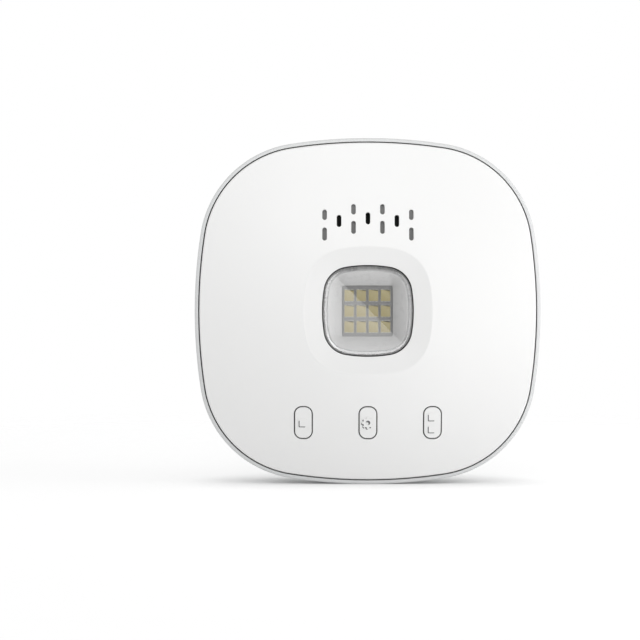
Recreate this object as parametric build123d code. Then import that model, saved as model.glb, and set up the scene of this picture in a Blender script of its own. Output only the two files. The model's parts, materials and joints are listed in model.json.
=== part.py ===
from build123d import *
import os
from math import atan2, cos, sin, sqrt

# A garage door wall panel: a crowned square casing that hangs on a screwed wall bracket,
# with a signal lamp in a dish, a buzzer behind a slotted grille and three push buttons.
# Everything is drawn as it hangs on the wall: x to the right, y up, z out from the wall.
# All sizes are millimetres. The last section turns the wall to the row's XZ plane.

# Outline of the panel seen from the front
PANEL_HALF = 73.0  # half the width and height
SIDE_ARC = 222.0  # radius of the long arc along each side
CORNER_ARC = 45.0  # radius of the arc round each corner

# Casing
FRONT_OVER_BOARD = 20.4  # highest point of the front above the main board
CROWN_RADIUS = 480.0  # radius of the crowned front
BACK_Z = 0.8  # gap between the casing and the wall
SEAT_DROP = 13.0  # from the highest point down to the shelf that the cover stands on
BACK_INSET = 8.0  # how far the sides taper in towards the wall
TAPER_ROUND = 20.0  # rounding where the taper starts
BACK_ROUND = 4.0
HOUSING_WALL = 2.0
SIDE_WALL = 2.4
RIM_WALL = 1.5
RIM_ROUND = 0.9
RIM_STEP = 0.25  # how far the rim stands below the cover's edge
SEAM_GAP = 0.5
COVER_WALL = 2.2
SKIRT_WALL = 1.8
COVER_ROUND = 0.8
SHELF_LIP = 0.4  # how far the shelf reaches in past the skirt

# Lamp window and the dish round it
WINDOW_HALF = 18.9
WINDOW_SIDE_ARC = 57.8
WINDOW_CORNER_ARC = 10.7
WINDOW_GAP = 0.4
WINDOW_RISE = 2.0  # height of the window's crown above the bottom of the dish
WINDOW_CROWN = 120.0
WINDOW_ROUND = 1.9
WINDOW_WALL = 1.8
DISH_WIDTH = 8.15  # from the window's side to the edge of the dish
DISH_SIDE_ARC = 84.0
DISH_CORNER_ARC = 16.5
DISH_DEPTH = 2.6
DISH_ROUND = 1.2  # rounding of the dish's outer edge
FRAME_WALL = 1.4  # cover material under the dish
FRAME_LIP = 2.4  # how far that material reaches past the dish
FLANGE_LIP = 2.4  # how far the window's flange reaches past its sides
FLANGE_T = 1.2
GASKET_T = 0.8
GASKET_INSET = 0.3

# Reflector and lamp board
REFLECTOR_SHELF = 2.3  # from the window's side in to the funnel's mouth
REFLECTOR_RISE = 3.6  # height of its funnel
REFLECTOR_ROUND = 0.4  # rounding of the funnel's mouth
REFLECTOR_WALL = 1.2
LAMP_HOLE = 21.7
LAMP_HOLE_SIDE_ARC = 1000.0  # so long that the sides look straight
LAMP_HOLE_ROUND = 0.6
LAMP_HOLE_DEPTH = 1.4
LAMP_BOARD_MARGIN = 1.7  # board past the window's flange
LAMP_BOARD_ROUND = 4.0
LAMP_BOARD_T = 1.6
LAMP_SCREW_EDGE = 3.0  # screw centre to the board's edge
LAMP_BOSS_R = 2.8
LAMP_COLUMNS = 4
LAMP_ROWS = 3
LAMP_PITCH_X = 5.16
LAMP_PITCH_Y = 6.66
PHOSPHOR_X = 4.1
PHOSPHOR_Y = 5.0
PHOSPHOR_T = 0.1
LAMP_PACKAGE_EDGE = 0.2  # package round the phosphor
LAMP_PACKAGE_T = 0.8
HEADER_EDGE = 4.0  # header centre to the lamp board's edge
HEADER_WIDTH = 7.6
HEADER_DEPTH = 2.5
HEADER_PINS = 3
HEADER_PIN_PITCH = 2.54
HEADER_PIN = 0.64

# Sound grille and buzzer, with the slots' heights counted from the buzzer's middle
SLOT_PITCH = 6.06
OUTER_SLOT_COLUMN = 3  # the middle column is 0
DEEP_SLOT_COLUMN = 2
INNER_SLOT_COLUMN = 1
SLOT_WIDTH = 1.95
DEEP_SLOT = 5.1  # length of a slot that goes through
HIGH_SLOT = 4.4  # length of the upper blind slots
LOW_SLOT = 5.5  # length of the lower blind slots
BLIND_DEPTH = 2.4  # of the shallowest blind slot
DEEP_MIDDLE_UP = -0.2
DEEP_SIDE_UP = -1.3
INNER_HIGH_UP = 3.6
INNER_LOW_UP = -4.0
OUTER_HIGH_UP = 1.3
OUTER_LOW_UP = -6.8
GRILLE_PAD_MARGIN = 2.6  # round the slots
GRILLE_BACKING_T = 1.6  # the grey plate behind the cover, which closes the blind slots
BUZZER_MARGIN = 0.5  # from the outer deep slots to the sealing ring
BUZZER_TO_LAMP_BOARD = 0.8
BUZZER_WALL = 1.4
BUZZER_HOLE_R = 2.2
BUZZER_LEDGE = 1.8
BUZZER_DISC_PLAY = 0.3
BUZZER_DISC_T = 0.5
BUZZER_PIN_R = 0.45
BUZZER_PIN_AT = 7.6
SOUND_RING_WALL = 1.6
SOUND_RING_T = 3.5
MESH_T = 0.4

# Buttons and their switches
BUTTON_EDGE = 26.1  # button centre to the panel's lower edge
BUTTON_PITCH = 27.1
CAP_WIDTH = 7.0
CAP_HEIGHT = 13.0
CAP_CORNER = 2.9
CAP_GAP = 0.5
CAP_PROUD = 0.2
CAP_ROUND = 0.35
CAP_LIP = 1.5  # flange that keeps the cap in
CAP_FLANGE_T = 1.2
CAP_CLEARANCE = 0.3
STEM_R = 1.9
STEM_LENGTH = 2.0  # of the shorter stems
SQUARE_ICON = 3.15
SQUARE_ICON_ROUND = 0.35
SQUARE_ICON_PITCH = 5.07
GEAR_ICON_R = 2.6
GEAR_ROOT_R = 2.0
GEAR_HOLE_R = 0.95
GEAR_TEETH = 8
GEAR_TOOTH = 0.9
ICON_PROUD = 0.6
SWITCH_SIZE = 6.0
SWITCH_BASE_T = 2.9
SWITCH_COVER_T = 0.35
SWITCH_FLOOR = 1.0
PLUNGER_R = 1.7
PLUNGER_FOOT_R = 2.3
PLUNGER_FOOT_T = 0.7
PLUNGER_CLEARANCE = 0.1

# Main board and the power inlet on its back
JACK_HEIGHT = 9.0
JACK_WIDTH = 9.0
JACK_LENGTH = 14.0
JACK_AXIS = 6.0  # below the back of the board
JACK_BORE_R = 3.0
JACK_BORE_DEPTH = 9.5
JACK_PIN_R = 1.0
JACK_PIN_CHAMFER = 0.4
JACK_PIN_SHORT = 1.0  # how far the pin stays inside the mouth
JACK_PIN_ROOT = 2.0  # how far the pin reaches into the jack's body
JACK_MOUTH_Y = 0.0
JACK_GAP = 0.2
BOARD_T = 1.6
BOARD_PAST_JACK = 0.5
BOARD_PAST_BUTTONS = 7.8
BOARD_PAST_BUZZER = 16.0
BOARD_EDGE_GAP = 9.0  # board edge to the rim outline, where the casing is round
POST_R = 3.0
POST_TO_BUZZER = 8.8
POST_TO_BOARD_TOP = 5.0
POST_BELOW_BUTTONS = 4.3

# What stands on the main board: x and y, then width, height and thickness
RADIO_AT = (-27.0, 8.0)
RADIO_BOARD = (18.0, 25.0, 0.8)
RADIO_SHIELD = (15.4, 17.0, 2.4)
RADIO_SHIELD_DROP = 3.2
RADIO_SHIELD_ROUND = 0.6
MAIN_CHIP = (-26.0, -24.0, 10.0, 10.0, 1.4)
RADIO_CHIP = (22.0, -22.0, 7.0, 7.0, 0.9)
POWER_CHIP = (26.0, -2.0, 5.0, 6.2, 1.5)
SOUND_CHIP = (-2.0, 12.0, 3.9, 6.0, 1.5)
COIL = (34.0, -17.0, 8.0, 8.0, 4.2)
COIL_CHAMFER = 1.6
CRYSTAL = (-15.0, -26.0, 3.2, 5.0, 1.0)
LARGE_CAPACITOR = (34.0, -30.0, 4.0, 9.5)  # x, y, radius and height
SMALL_CAPACITORS = [(24.0, 9.0), (-36.0, 29.0)]
SMALL_CAPACITOR_R = 3.15
SMALL_CAPACITOR_HEIGHT = 7.0
CHIP_PART = (1.25, 2.0, 0.55)
CHIP_PART_COLUMNS = [(-36.0, -17.0), (-10.0, -14.0), (14.0, -23.0), (16.0, 4.0), (-12.0, 16.0), (-12.0, 2.0)]
CHIP_PART_PITCH = 3.4
CHIP_PART_COUNT = 4  # in each column, downwards

# Antenna wire of the door radio
ANTENNA_R = 0.5
ANTENNA_FOOT = (33.0, 22.0)
ANTENNA_RISE = 7.0
ANTENNA_SPAN = 24.0
ANTENNA_BEND = 2.5
ANTENNA_TAIL = 4.0

# Fasteners: thread radius, head radius, head height, length under the head
CASE_SCREW = (1.5, 2.8, 2.0, 14.0)
BOARD_SCREW = (1.25, 2.4, 1.6, 7.0)
LAMP_SCREW = (1.1, 2.1, 1.5, 6.0)
HEAD_ROUND = 0.5
POINT_CHAMFER = 0.6
DRIVE_R = 0.9
DRIVE_SLOT = 0.6
DRIVE_DEPTH = 0.9
THREAD_PLAY = 0.05
PILOT_SPARE = 0.8  # depth of a screw's pilot hole past its point
SCREW_HOLE_PLAY = 0.3
CASE_SCREW_EDGE = 29.0  # screw centre to the panel's upper or lower edge
CASE_SCREW_SPACE = 0.6  # between a screw tower and the cable groove's wall
BOSS_R = 3.6
BOSS_Z = 10.0  # where a cover boss meets its tower in the rear housing
TOWER_R = 4.8
WELL_R = 3.2
WELL_DEPTH = 5.2
BOARD_TO_TOWER = 0.6

# Wall bracket
BRACKET_WIDTH = 56.0
BRACKET_HEIGHT = 50.0
BRACKET_ROUND = 6.0
BRACKET_CHAMFER = 0.5
BRACKET_T = 4.0
BRACKET_GAP = 0.5
SLIDE_TRAVEL = 10.0
HOOK_SIDE_EDGE = 8.0  # hook centre to the bracket's side
HOOK_TOP_EDGE = 11.0
HOOK_LOW_EDGE = 13.0
HOOK_WIDTH = 4.0
HOOK_HEIGHT = 5.0
HOOK_HEAD_WIDTH = 8.0
HOOK_HEAD_T = 1.6
HOOK_GAP = 0.3
WALL_SCREW_PITCH = 36.0
WALL_SCREW_R = 2.25
WALL_SINK_R = 4.4
WALL_SINK_DEPTH = 2.2

# Openings in the back
PLUG_POCKET_WIDTH = 11.2
PLUG_POCKET_LENGTH = 24.0
POCKET_WALL = 1.6
POCKET_SPACE = 0.7  # between the bracket bay's wall and the plug pocket's wall
PLUG_HOLE_R = 3.5
CABLE_GROOVE = 6.0
CABLE_GROOVE_DEPTH = 6.0
CABLE_NUB = 0.7
CABLE_NUB_FIRST = 7.0  # from the plug pocket down to the first pair of nubs
CABLE_NUB_PITCH = 10.0
CABLE_NUB_PAIRS = 2
VENT_WIDTH = 1.8
VENT_LENGTH = 9.0
VENT_PITCH = 4.4
VENT_COUNT = 7
VENT_EDGE = 27.0  # vent centre to the panel's upper edge
LABEL_WIDTH = 34.0
LABEL_HEIGHT = 11.0
LABEL_DEPTH = 0.3
LABEL_EDGE = 24.0  # label centre to the panel's lower edge

# Heights worked out from those above, from the wall outwards
FLOOR_Z = BACK_Z + HOUSING_WALL
BAY_FLOOR_Z = BRACKET_T + BRACKET_GAP
BAY_TOP = BAY_FLOOR_Z + HOUSING_WALL
WELL_Z = BACK_Z + WELL_DEPTH
BOARD_Z = FLOOR_Z + JACK_GAP + JACK_HEIGHT
BOARD_TOP = BOARD_Z + BOARD_T
JACK_AXIS_Z = BOARD_Z - JACK_AXIS
POCKET_TOP = BOARD_Z - JACK_GAP
FRONT_Z = BOARD_TOP + FRONT_OVER_BOARD
SEAT_Z = FRONT_Z - SEAT_DROP
DISH_FLOOR_Z = FRONT_Z - DISH_DEPTH
FRAME_Z = DISH_FLOOR_Z - FRAME_WALL
GASKET_Z = FRAME_Z - GASKET_T
FLANGE_Z = GASKET_Z - FLANGE_T
LAMP_HOLE_Z = FLANGE_Z - REFLECTOR_RISE
LAMP_BOARD_TOP = LAMP_HOLE_Z - LAMP_HOLE_DEPTH
LAMP_BOARD_Z = LAMP_BOARD_TOP - LAMP_BOARD_T
TALL = 2 * FRONT_Z  # past the front, for blocks that are trimmed to the crown

# Places worked out from those above
COVER_INSET = RIM_WALL + SEAM_GAP
DISH_HALF = WINDOW_HALF + DISH_WIDTH
LAMP_BOARD_HALF = WINDOW_HALF + FLANGE_LIP + LAMP_BOARD_MARGIN
LAMP_SCREW_AT = LAMP_BOARD_HALF - LAMP_SCREW_EDGE
HEADER_Y = HEADER_EDGE - LAMP_BOARD_HALF
BUZZER_R = DEEP_SLOT_COLUMN * SLOT_PITCH + SLOT_WIDTH / 2 + BUZZER_MARGIN + SOUND_RING_WALL
BUZZER_Y = LAMP_BOARD_HALF + BUZZER_TO_LAMP_BOARD + BUZZER_R
BUTTON_Y = BUTTON_EDGE - PANEL_HALF
BUTTON_XS = {"left": -BUTTON_PITCH, "settings": 0.0, "right": BUTTON_PITCH}
JACK_X = BRACKET_WIDTH / 2 + BRACKET_GAP + 2 * POCKET_WALL + POCKET_SPACE + PLUG_POCKET_WIDTH / 2
CASE_SCREW_X = JACK_X + CABLE_GROOVE / 2 + POCKET_WALL + CASE_SCREW_SPACE + TOWER_R
CASE_SCREW_Y = PANEL_HALF - CASE_SCREW_EDGE
BOARD_HALF_WIDTH = JACK_X + JACK_WIDTH / 2 + BOARD_PAST_JACK
BOARD_LOW_Y = BUTTON_Y - BOARD_PAST_BUTTONS
BOARD_HIGH_Y = BUZZER_Y + BOARD_PAST_BUZZER
BAY_LOW_Y = -BRACKET_HEIGHT / 2 - SLIDE_TRAVEL - BRACKET_GAP
BAY_HIGH_Y = BRACKET_HEIGHT / 2 + BRACKET_GAP


def outline(half, side_arc, corner_arc, inset=0.0):
    """A square with bowed sides and round corners, every arc tangent to the next."""
    half, side_arc, corner_arc = half - inset, side_arc - inset, corner_arc - inset
    far = side_arc - half
    reach = side_arc - corner_arc
    corner = (sqrt(2 * reach**2 - far**2) - far) / 2
    angle = atan2(corner, corner + far)
    x, y = side_arc * cos(angle) - far, side_arc * sin(angle)
    tip = corner + corner_arc / sqrt(2)
    side = ThreePointArc((x, -y), (half, 0), (x, y))
    bend = ThreePointArc((x, y), (tip, tip), (y, x))
    return make_face([Rot(0, 0, 90 * turn) * edge for turn in range(4) for edge in (side, bend)])


def panel_outline(inset=0.0):
    return outline(PANEL_HALF, SIDE_ARC, CORNER_ARC, inset)


def window_outline(grow=0.0):
    return outline(WINDOW_HALF, WINDOW_SIDE_ARC, WINDOW_CORNER_ARC, -grow)


def block(face, low, high):
    """The face as a block from one distance off the wall to another."""
    return extrude(Pos(0, 0, low) * face, high - low)


def round_bar(radius, low, high, x=0.0, y=0.0):
    return Pos(x, y, low) * Cylinder(radius, high - low, align=(Align.CENTER, Align.CENTER, Align.MIN))


def bar(width, height, low, high, x=0.0, y=0.0):
    return Pos(x, y, low) * Box(width, height, high - low, align=(Align.CENTER, Align.CENTER, Align.MIN))


def taper(low_face, low, high_face, high):
    return loft([Pos(0, 0, low) * low_face, Pos(0, 0, high) * high_face], ruled=True)


def ball(radius, top):
    """A ball whose highest point is at that distance off the wall, its poles kept off the front."""
    return Pos(0, 0, top - radius) * Rot(90, 0, 0) * Sphere(radius)


def crown(drop=0.0):
    """The ball whose front is the panel's crowned front, moved in by drop."""
    return ball(CROWN_RADIUS - drop, FRONT_Z - drop)


def crown_z(x, y, drop=0.0):
    return FRONT_Z - CROWN_RADIUS + sqrt((CROWN_RADIUS - drop) ** 2 - x**2 - y**2)


def mirrored(x, y):
    return [(x, y), (-x, y), (x, -y), (-x, -y)]


def case_screw_places():
    return mirrored(CASE_SCREW_X, CASE_SCREW_Y)


def lamp_screw_places():
    return mirrored(LAMP_SCREW_AT, LAMP_SCREW_AT)


def pilot_hole(sizes, head_z, x, y):
    """The hole that an upward screw cuts its thread in, from the underside of its head."""
    thread_r, _, _, length = sizes
    return round_bar(thread_r + THREAD_PLAY, head_z, head_z + length + PILOT_SPARE, x, y)


def upright_slot(length, width):
    return SlotOverall(length, width, rotation=90)


def round_crown_edge(part, radius):
    """Rounds the edge all round the crowned face of a trimmed block."""
    face = part.faces().filter_by(GeomType.SPHERE).sort_by(Axis.Z)[-1]
    return fillet(face.outer_wire().edges(), radius)


# Front cover


def round_dish_edge(cover):
    """Rounds the edge where the dish meets the crowned front, the only edge inside that face so far."""
    face = cover.faces().filter_by(GeomType.SPHERE).sort_by(Axis.Z)[-1]
    return fillet(face.inner_wires()[0].edges(), DISH_ROUND)


def blind_slots():
    high = upright_slot(HIGH_SLOT, SLOT_WIDTH)
    low = upright_slot(LOW_SLOT, SLOT_WIDTH)
    places = [
        (INNER_SLOT_COLUMN, INNER_HIGH_UP, high),
        (INNER_SLOT_COLUMN, INNER_LOW_UP, low),
        (OUTER_SLOT_COLUMN, OUTER_HIGH_UP, high),
        (OUTER_SLOT_COLUMN, OUTER_LOW_UP, low),
    ]
    return [Pos(side * n * SLOT_PITCH, BUZZER_Y + up) * slot for n, up, slot in places for side in (-1, 1)]


def deep_slots():
    slot = upright_slot(DEEP_SLOT, SLOT_WIDTH)
    return [
        Pos(0, BUZZER_Y + DEEP_MIDDLE_UP) * slot,
        Pos(DEEP_SLOT_COLUMN * SLOT_PITCH, BUZZER_Y + DEEP_SIDE_UP) * slot,
        Pos(-DEEP_SLOT_COLUMN * SLOT_PITCH, BUZZER_Y + DEEP_SIDE_UP) * slot,
    ]


def grille_high_y():
    return BUZZER_Y + INNER_HIGH_UP + HIGH_SLOT / 2


def grille_seat_z():
    """Back of the cover behind the grille, level so that the grey plate lies flat on it."""
    return crown_z(OUTER_SLOT_COLUMN * SLOT_PITCH, grille_high_y(), BLIND_DEPTH)


def grille_block(low, high):
    """A block behind all the slots and the buzzer's ring."""
    top = grille_high_y() + GRILLE_PAD_MARGIN
    foot = BUZZER_Y + OUTER_LOW_UP - LOW_SLOT / 2 - GRILLE_PAD_MARGIN
    width = 2 * (OUTER_SLOT_COLUMN * SLOT_PITCH + SLOT_WIDTH / 2 + GRILLE_PAD_MARGIN)
    slots = bar(width, top - foot, low, high, y=(top + foot) / 2)
    ring = round_bar(BUZZER_R + SOUND_RING_WALL / 2, low, high, y=BUZZER_Y)
    return slots + ring


def cap_outline(grow=0.0):
    return RectangleRounded(CAP_WIDTH + 2 * grow, CAP_HEIGHT + 2 * grow, CAP_CORNER + grow)


def front_cover():
    outside = block(panel_outline(COVER_INSET), SEAT_Z, TALL) & crown()
    outside = round_crown_edge(outside, COVER_ROUND)
    inside = block(panel_outline(COVER_INSET + SKIRT_WALL), 0, TALL) & crown(COVER_WALL)
    frame = block(outline(DISH_HALF, DISH_SIDE_ARC, DISH_CORNER_ARC, -FRAME_LIP), FRAME_Z, FRONT_Z)
    lamp_bosses = [round_bar(LAMP_BOSS_R, LAMP_BOARD_TOP, FRONT_Z, x, y) for x, y in lamp_screw_places()]
    case_bosses = [round_bar(BOSS_R, BOSS_Z, FRONT_Z, x, y) for x, y in case_screw_places()]
    pad = grille_block(grille_seat_z(), FRONT_Z)
    inner_parts = Part() + [frame, pad, *lamp_bosses, *case_bosses]
    cover = (outside - inside) + (inner_parts & (inside + outside))

    dish_top = crown_z(DISH_HALF, 0)
    dish_face = outline(DISH_HALF, DISH_SIDE_ARC, DISH_CORNER_ARC)
    cover -= taper(window_outline(WINDOW_GAP), DISH_FLOOR_Z, dish_face, dish_top)
    cover -= block(dish_face, dish_top, TALL)
    cover = round_dish_edge(cover)
    cover -= block(window_outline(WINDOW_GAP), 0, TALL)
    cover -= grille_block(0, grille_seat_z())
    cover -= [block(slot, 0, TALL) for slot in deep_slots() + blind_slots()]
    for x in BUTTON_XS.values():
        cover -= block(Pos(x, BUTTON_Y) * cap_outline(CAP_GAP), SEAT_Z, TALL)
    cover -= [pilot_hole(CASE_SCREW, WELL_Z, x, y) for x, y in case_screw_places()]
    return cover - [pilot_hole(LAMP_SCREW, LAMP_BOARD_Z, x, y) for x, y in lamp_screw_places()]


# Rear housing


def hook_slots(x, y):
    """A keyhole slot: the head goes in low down and the stem slides up the narrow part."""
    top = y + HOOK_HEIGHT / 2 + HOOK_GAP
    entry = y - SLIDE_TRAVEL
    narrow = Pos(x, (top + entry) / 2) * Rectangle(HOOK_WIDTH + 2 * HOOK_GAP, top - entry)
    wide = Pos(x, entry) * Rectangle(HOOK_HEAD_WIDTH + 2 * HOOK_GAP, HOOK_HEIGHT + 2 * HOOK_GAP)
    return block(narrow + wide, BAY_FLOOR_Z - BRACKET_GAP, BAY_TOP + BRACKET_GAP)


def hook_places():
    x = BRACKET_WIDTH / 2 - HOOK_SIDE_EDGE
    high_y = BRACKET_HEIGHT / 2 - HOOK_TOP_EDGE
    low_y = HOOK_LOW_EDGE - BRACKET_HEIGHT / 2
    return [(side * x, y) for side in (-1, 1) for y in (high_y, low_y)]


def board_posts():
    high = (BUZZER_R + POST_TO_BUZZER, BOARD_HIGH_Y - POST_TO_BOARD_TOP)
    low = (BUTTON_PITCH / 2, BUTTON_Y - POST_BELOW_BUTTONS)
    return [(side * x, y) for x, y in (high, low) for side in (-1, 1)]


def tray():
    """The casing's outside, tapered towards the wall and trimmed just below the cover's crown."""
    sides = taper(panel_outline(BACK_INSET), BACK_Z, panel_outline(), SEAT_Z)
    outside = sides + block(panel_outline(), SEAT_Z, TALL)
    crease = outside.edges().filter_by_position(Axis.Z, SEAT_Z, SEAT_Z)
    outside = fillet(crease, TAPER_ROUND)
    back = outside.faces().sort_by(Axis.Z)[0]
    outside = fillet(back.outer_wire().edges(), BACK_ROUND)
    return round_crown_edge(outside & crown(RIM_STEP), RIM_ROUND)


def tray_room():
    """The room inside, up to the shelf that the cover stands on."""
    floor_inset = BACK_INSET * (SEAT_Z - FLOOR_Z) / (SEAT_Z - BACK_Z) + SIDE_WALL
    shelf_inset = COVER_INSET + SKIRT_WALL + SHELF_LIP
    return taper(panel_outline(floor_inset), FLOOR_Z, panel_outline(shelf_inset), SEAT_Z)


def bracket_bay(margin, low, high):
    width = BRACKET_WIDTH + 2 * (BRACKET_GAP + margin)
    return bar(width, BAY_HIGH_Y - BAY_LOW_Y + 2 * margin, low, high, y=(BAY_HIGH_Y + BAY_LOW_Y) / 2)


def plug_pocket(margin, low, high):
    y = JACK_MOUTH_Y - POCKET_WALL - PLUG_POCKET_LENGTH / 2
    return bar(PLUG_POCKET_WIDTH + 2 * margin, PLUG_POCKET_LENGTH + 2 * margin, low, high, JACK_X, y)


def cable_groove(margin, low, high):
    top_y = JACK_MOUTH_Y - POCKET_WALL - PLUG_POCKET_LENGTH
    length = PANEL_HALF + top_y
    return bar(CABLE_GROOVE + 2 * margin, length, low, high, JACK_X, top_y - length / 2)


def cable_nubs():
    """Small bumps that keep the lead in its groove."""
    first = JACK_MOUTH_Y - POCKET_WALL - PLUG_POCKET_LENGTH - CABLE_NUB_FIRST
    return [
        Pos(JACK_X + side * CABLE_GROOVE / 2, first - n * CABLE_NUB_PITCH, FLOOR_Z) * Sphere(CABLE_NUB)
        for n in range(CABLE_NUB_PAIRS)
        for side in (-1, 1)
    ]


def vents():
    first = -(VENT_COUNT - 1) * VENT_PITCH / 2
    y = PANEL_HALF - VENT_EDGE
    vent = upright_slot(VENT_LENGTH, VENT_WIDTH)
    return [block(Pos(first + n * VENT_PITCH, y) * vent, 0, BAY_TOP) for n in range(VENT_COUNT)]


def label_recess(margin, low, high):
    return bar(LABEL_WIDTH + 2 * margin, LABEL_HEIGHT + 2 * margin, low, high, y=LABEL_EDGE - PANEL_HALF)


def rear_housing():
    groove_z = BACK_Z + CABLE_GROOVE_DEPTH
    inside = [
        bracket_bay(POCKET_WALL, BACK_Z, BAY_TOP),
        plug_pocket(POCKET_WALL, BACK_Z, POCKET_TOP),
        cable_groove(POCKET_WALL, BACK_Z, groove_z + POCKET_WALL),
        label_recess(HOUSING_WALL, BACK_Z, FLOOR_Z + LABEL_DEPTH),
    ]
    inside += [round_bar(TOWER_R, BACK_Z, BOSS_Z, x, y) for x, y in case_screw_places()]
    inside += [round_bar(POST_R, BACK_Z, BOARD_Z, x, y) for x, y in board_posts()]
    outside = tray()
    housing = outside - block(panel_outline(RIM_WALL), SEAT_Z, TALL) - (tray_room() - (Part() + inside))

    housing -= [
        bracket_bay(0, 0, BAY_FLOOR_Z),
        plug_pocket(0, 0, POCKET_TOP - POCKET_WALL),
        cable_groove(0, 0, groove_z),
        label_recess(0, 0, BACK_Z + LABEL_DEPTH),
    ]
    housing += cable_nubs()
    wall_y = JACK_MOUTH_Y - POCKET_WALL / 2
    plug_hole = Pos(JACK_X, wall_y, JACK_AXIS_Z) * Rot(90, 0, 0) * Cylinder(PLUG_HOLE_R, 2 * POCKET_WALL)
    housing -= [plug_hole, *vents()]
    housing -= [hook_slots(x, y) for x, y in hook_places()]
    housing -= [round_bar(WELL_R, 0, WELL_Z, x, y) for x, y in case_screw_places()]
    housing -= [round_bar(CASE_SCREW[0] + SCREW_HOLE_PLAY, 0, SEAT_Z, x, y) for x, y in case_screw_places()]
    pilot_z = BOARD_TOP - BOARD_SCREW[3] - PILOT_SPARE
    pilot_r = BOARD_SCREW[0] + THREAD_PLAY
    return housing - [round_bar(pilot_r, pilot_z, BOARD_TOP, x, y) for x, y in board_posts()]


# Screws


def screw(sizes, point_up=True):
    """A pan-head screw with its head's underside at the origin, its point up or down."""
    thread_r, head_r, head_t, length = sizes
    head = round_bar(head_r, -head_t, 0)
    top = head.faces().sort_by(Axis.Z)[0]
    head = fillet(top.edges(), HEAD_ROUND)
    cross = Rectangle(2 * DRIVE_R, DRIVE_SLOT) + Rectangle(DRIVE_SLOT, 2 * DRIVE_R)
    shank = round_bar(thread_r, 0, length)
    shank = chamfer(shank.faces().sort_by(Axis.Z)[-1].edges(), POINT_CHAMFER)
    made = head + shank - block(cross, -head_t, -head_t + DRIVE_DEPTH)
    return made if point_up else Rot(180, 0, 0) * made


def case_screws():
    return [Pos(x, y, WELL_Z) * screw(CASE_SCREW) for x, y in case_screw_places()]


def board_screws():
    return [Pos(x, y, BOARD_TOP) * screw(BOARD_SCREW, point_up=False) for x, y in board_posts()]


def lamp_screws():
    return [Pos(x, y, LAMP_BOARD_Z) * screw(LAMP_SCREW) for x, y in lamp_screw_places()]


# Lamp


def light_window():
    apex = DISH_FLOOR_Z + WINDOW_RISE
    dome = block(window_outline(), FLANGE_Z, TALL) & ball(WINDOW_CROWN, apex)
    dome = round_crown_edge(dome, WINDOW_ROUND)
    inner_dome = ball(WINDOW_CROWN - WINDOW_WALL, apex - WINDOW_WALL)
    hollow = block(window_outline(-WINDOW_WALL), 0, TALL) & inner_dome
    return dome + block(window_outline(FLANGE_LIP), FLANGE_Z, GASKET_Z) - hollow


def window_gasket():
    ring = window_outline(FLANGE_LIP - GASKET_INSET) - window_outline(WINDOW_GAP)
    return block(ring, GASKET_Z, FRAME_Z)


def lamp_hole(grow=0.0):
    return outline(LAMP_HOLE / 2, LAMP_HOLE_SIDE_ARC, LAMP_HOLE_ROUND, -grow)


def light_reflector():
    """A funnel under the window with a flat shelf round its mouth, hollow underneath."""
    mouth = window_outline(-REFLECTOR_SHELF)
    body = block(window_outline(FLANGE_LIP), LAMP_BOARD_TOP, FLANGE_Z)
    body -= taper(lamp_hole(), LAMP_HOLE_Z, mouth, FLANGE_Z)
    shelf = body.faces().filter_by(GeomType.PLANE).sort_by(Axis.Z)[-1]
    body = fillet(shelf.inner_wires()[0].edges(), REFLECTOR_ROUND)
    body -= block(lamp_hole(), 0, LAMP_HOLE_Z)

    hollow_top = FLANGE_Z - REFLECTOR_WALL
    hole_wall = lamp_hole(REFLECTOR_WALL)
    hollow = block(window_outline(), LAMP_BOARD_TOP, hollow_top)
    hollow -= taper(hole_wall, LAMP_HOLE_Z - REFLECTOR_WALL, mouth, hollow_top)
    hollow -= block(hole_wall, 0, LAMP_HOLE_Z - REFLECTOR_WALL)
    return body - hollow


def lamp_places():
    across = [(n - (LAMP_COLUMNS - 1) / 2) * LAMP_PITCH_X for n in range(LAMP_COLUMNS)]
    up = [(n - (LAMP_ROWS - 1) / 2) * LAMP_PITCH_Y for n in range(LAMP_ROWS)]
    return [(x, y) for y in up for x in across]


def led_packages():
    top = LAMP_BOARD_TOP + LAMP_PACKAGE_T
    edge = 2 * LAMP_PACKAGE_EDGE
    package = bar(PHOSPHOR_X + edge, PHOSPHOR_Y + edge, LAMP_BOARD_TOP, top)
    package -= bar(PHOSPHOR_X, PHOSPHOR_Y, top - PHOSPHOR_T, top)
    return [Pos(x, y) * package for x, y in lamp_places()]


def led_phosphors():
    top = LAMP_BOARD_TOP + LAMP_PACKAGE_T
    return [bar(PHOSPHOR_X, PHOSPHOR_Y, top - PHOSPHOR_T, top, x, y) for x, y in lamp_places()]


def header_pin_places():
    return [((n - (HEADER_PINS - 1) / 2) * HEADER_PIN_PITCH, HEADER_Y) for n in range(HEADER_PINS)]


def led_board():
    size = 2 * LAMP_BOARD_HALF
    board = block(RectangleRounded(size, size, LAMP_BOARD_ROUND), LAMP_BOARD_Z, LAMP_BOARD_TOP)
    hole = LAMP_SCREW[0] + SCREW_HOLE_PLAY
    board -= [round_bar(hole, 0, TALL, x, y) for x, y in lamp_screw_places()]
    return board - [bar(HEADER_PIN, HEADER_PIN, 0, TALL, x, y) for x, y in header_pin_places()]


def board_header():
    housing = bar(HEADER_WIDTH, HEADER_DEPTH, BOARD_TOP, LAMP_BOARD_Z, y=HEADER_Y)
    return housing - [bar(HEADER_PIN, HEADER_PIN, 0, TALL, x, y) for x, y in header_pin_places()]


def board_header_pins():
    return [bar(HEADER_PIN, HEADER_PIN, BOARD_Z, LAMP_BOARD_TOP, x, y) for x, y in header_pin_places()]


# Buzzer


def grille_backing():
    return grille_block(backing_z(), grille_seat_z()) - [block(slot, 0, TALL) for slot in deep_slots()]


def backing_z():
    return grille_seat_z() - GRILLE_BACKING_T


def mesh_z():
    return backing_z() - MESH_T


def buzzer_top():
    return mesh_z() - SOUND_RING_T


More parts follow.
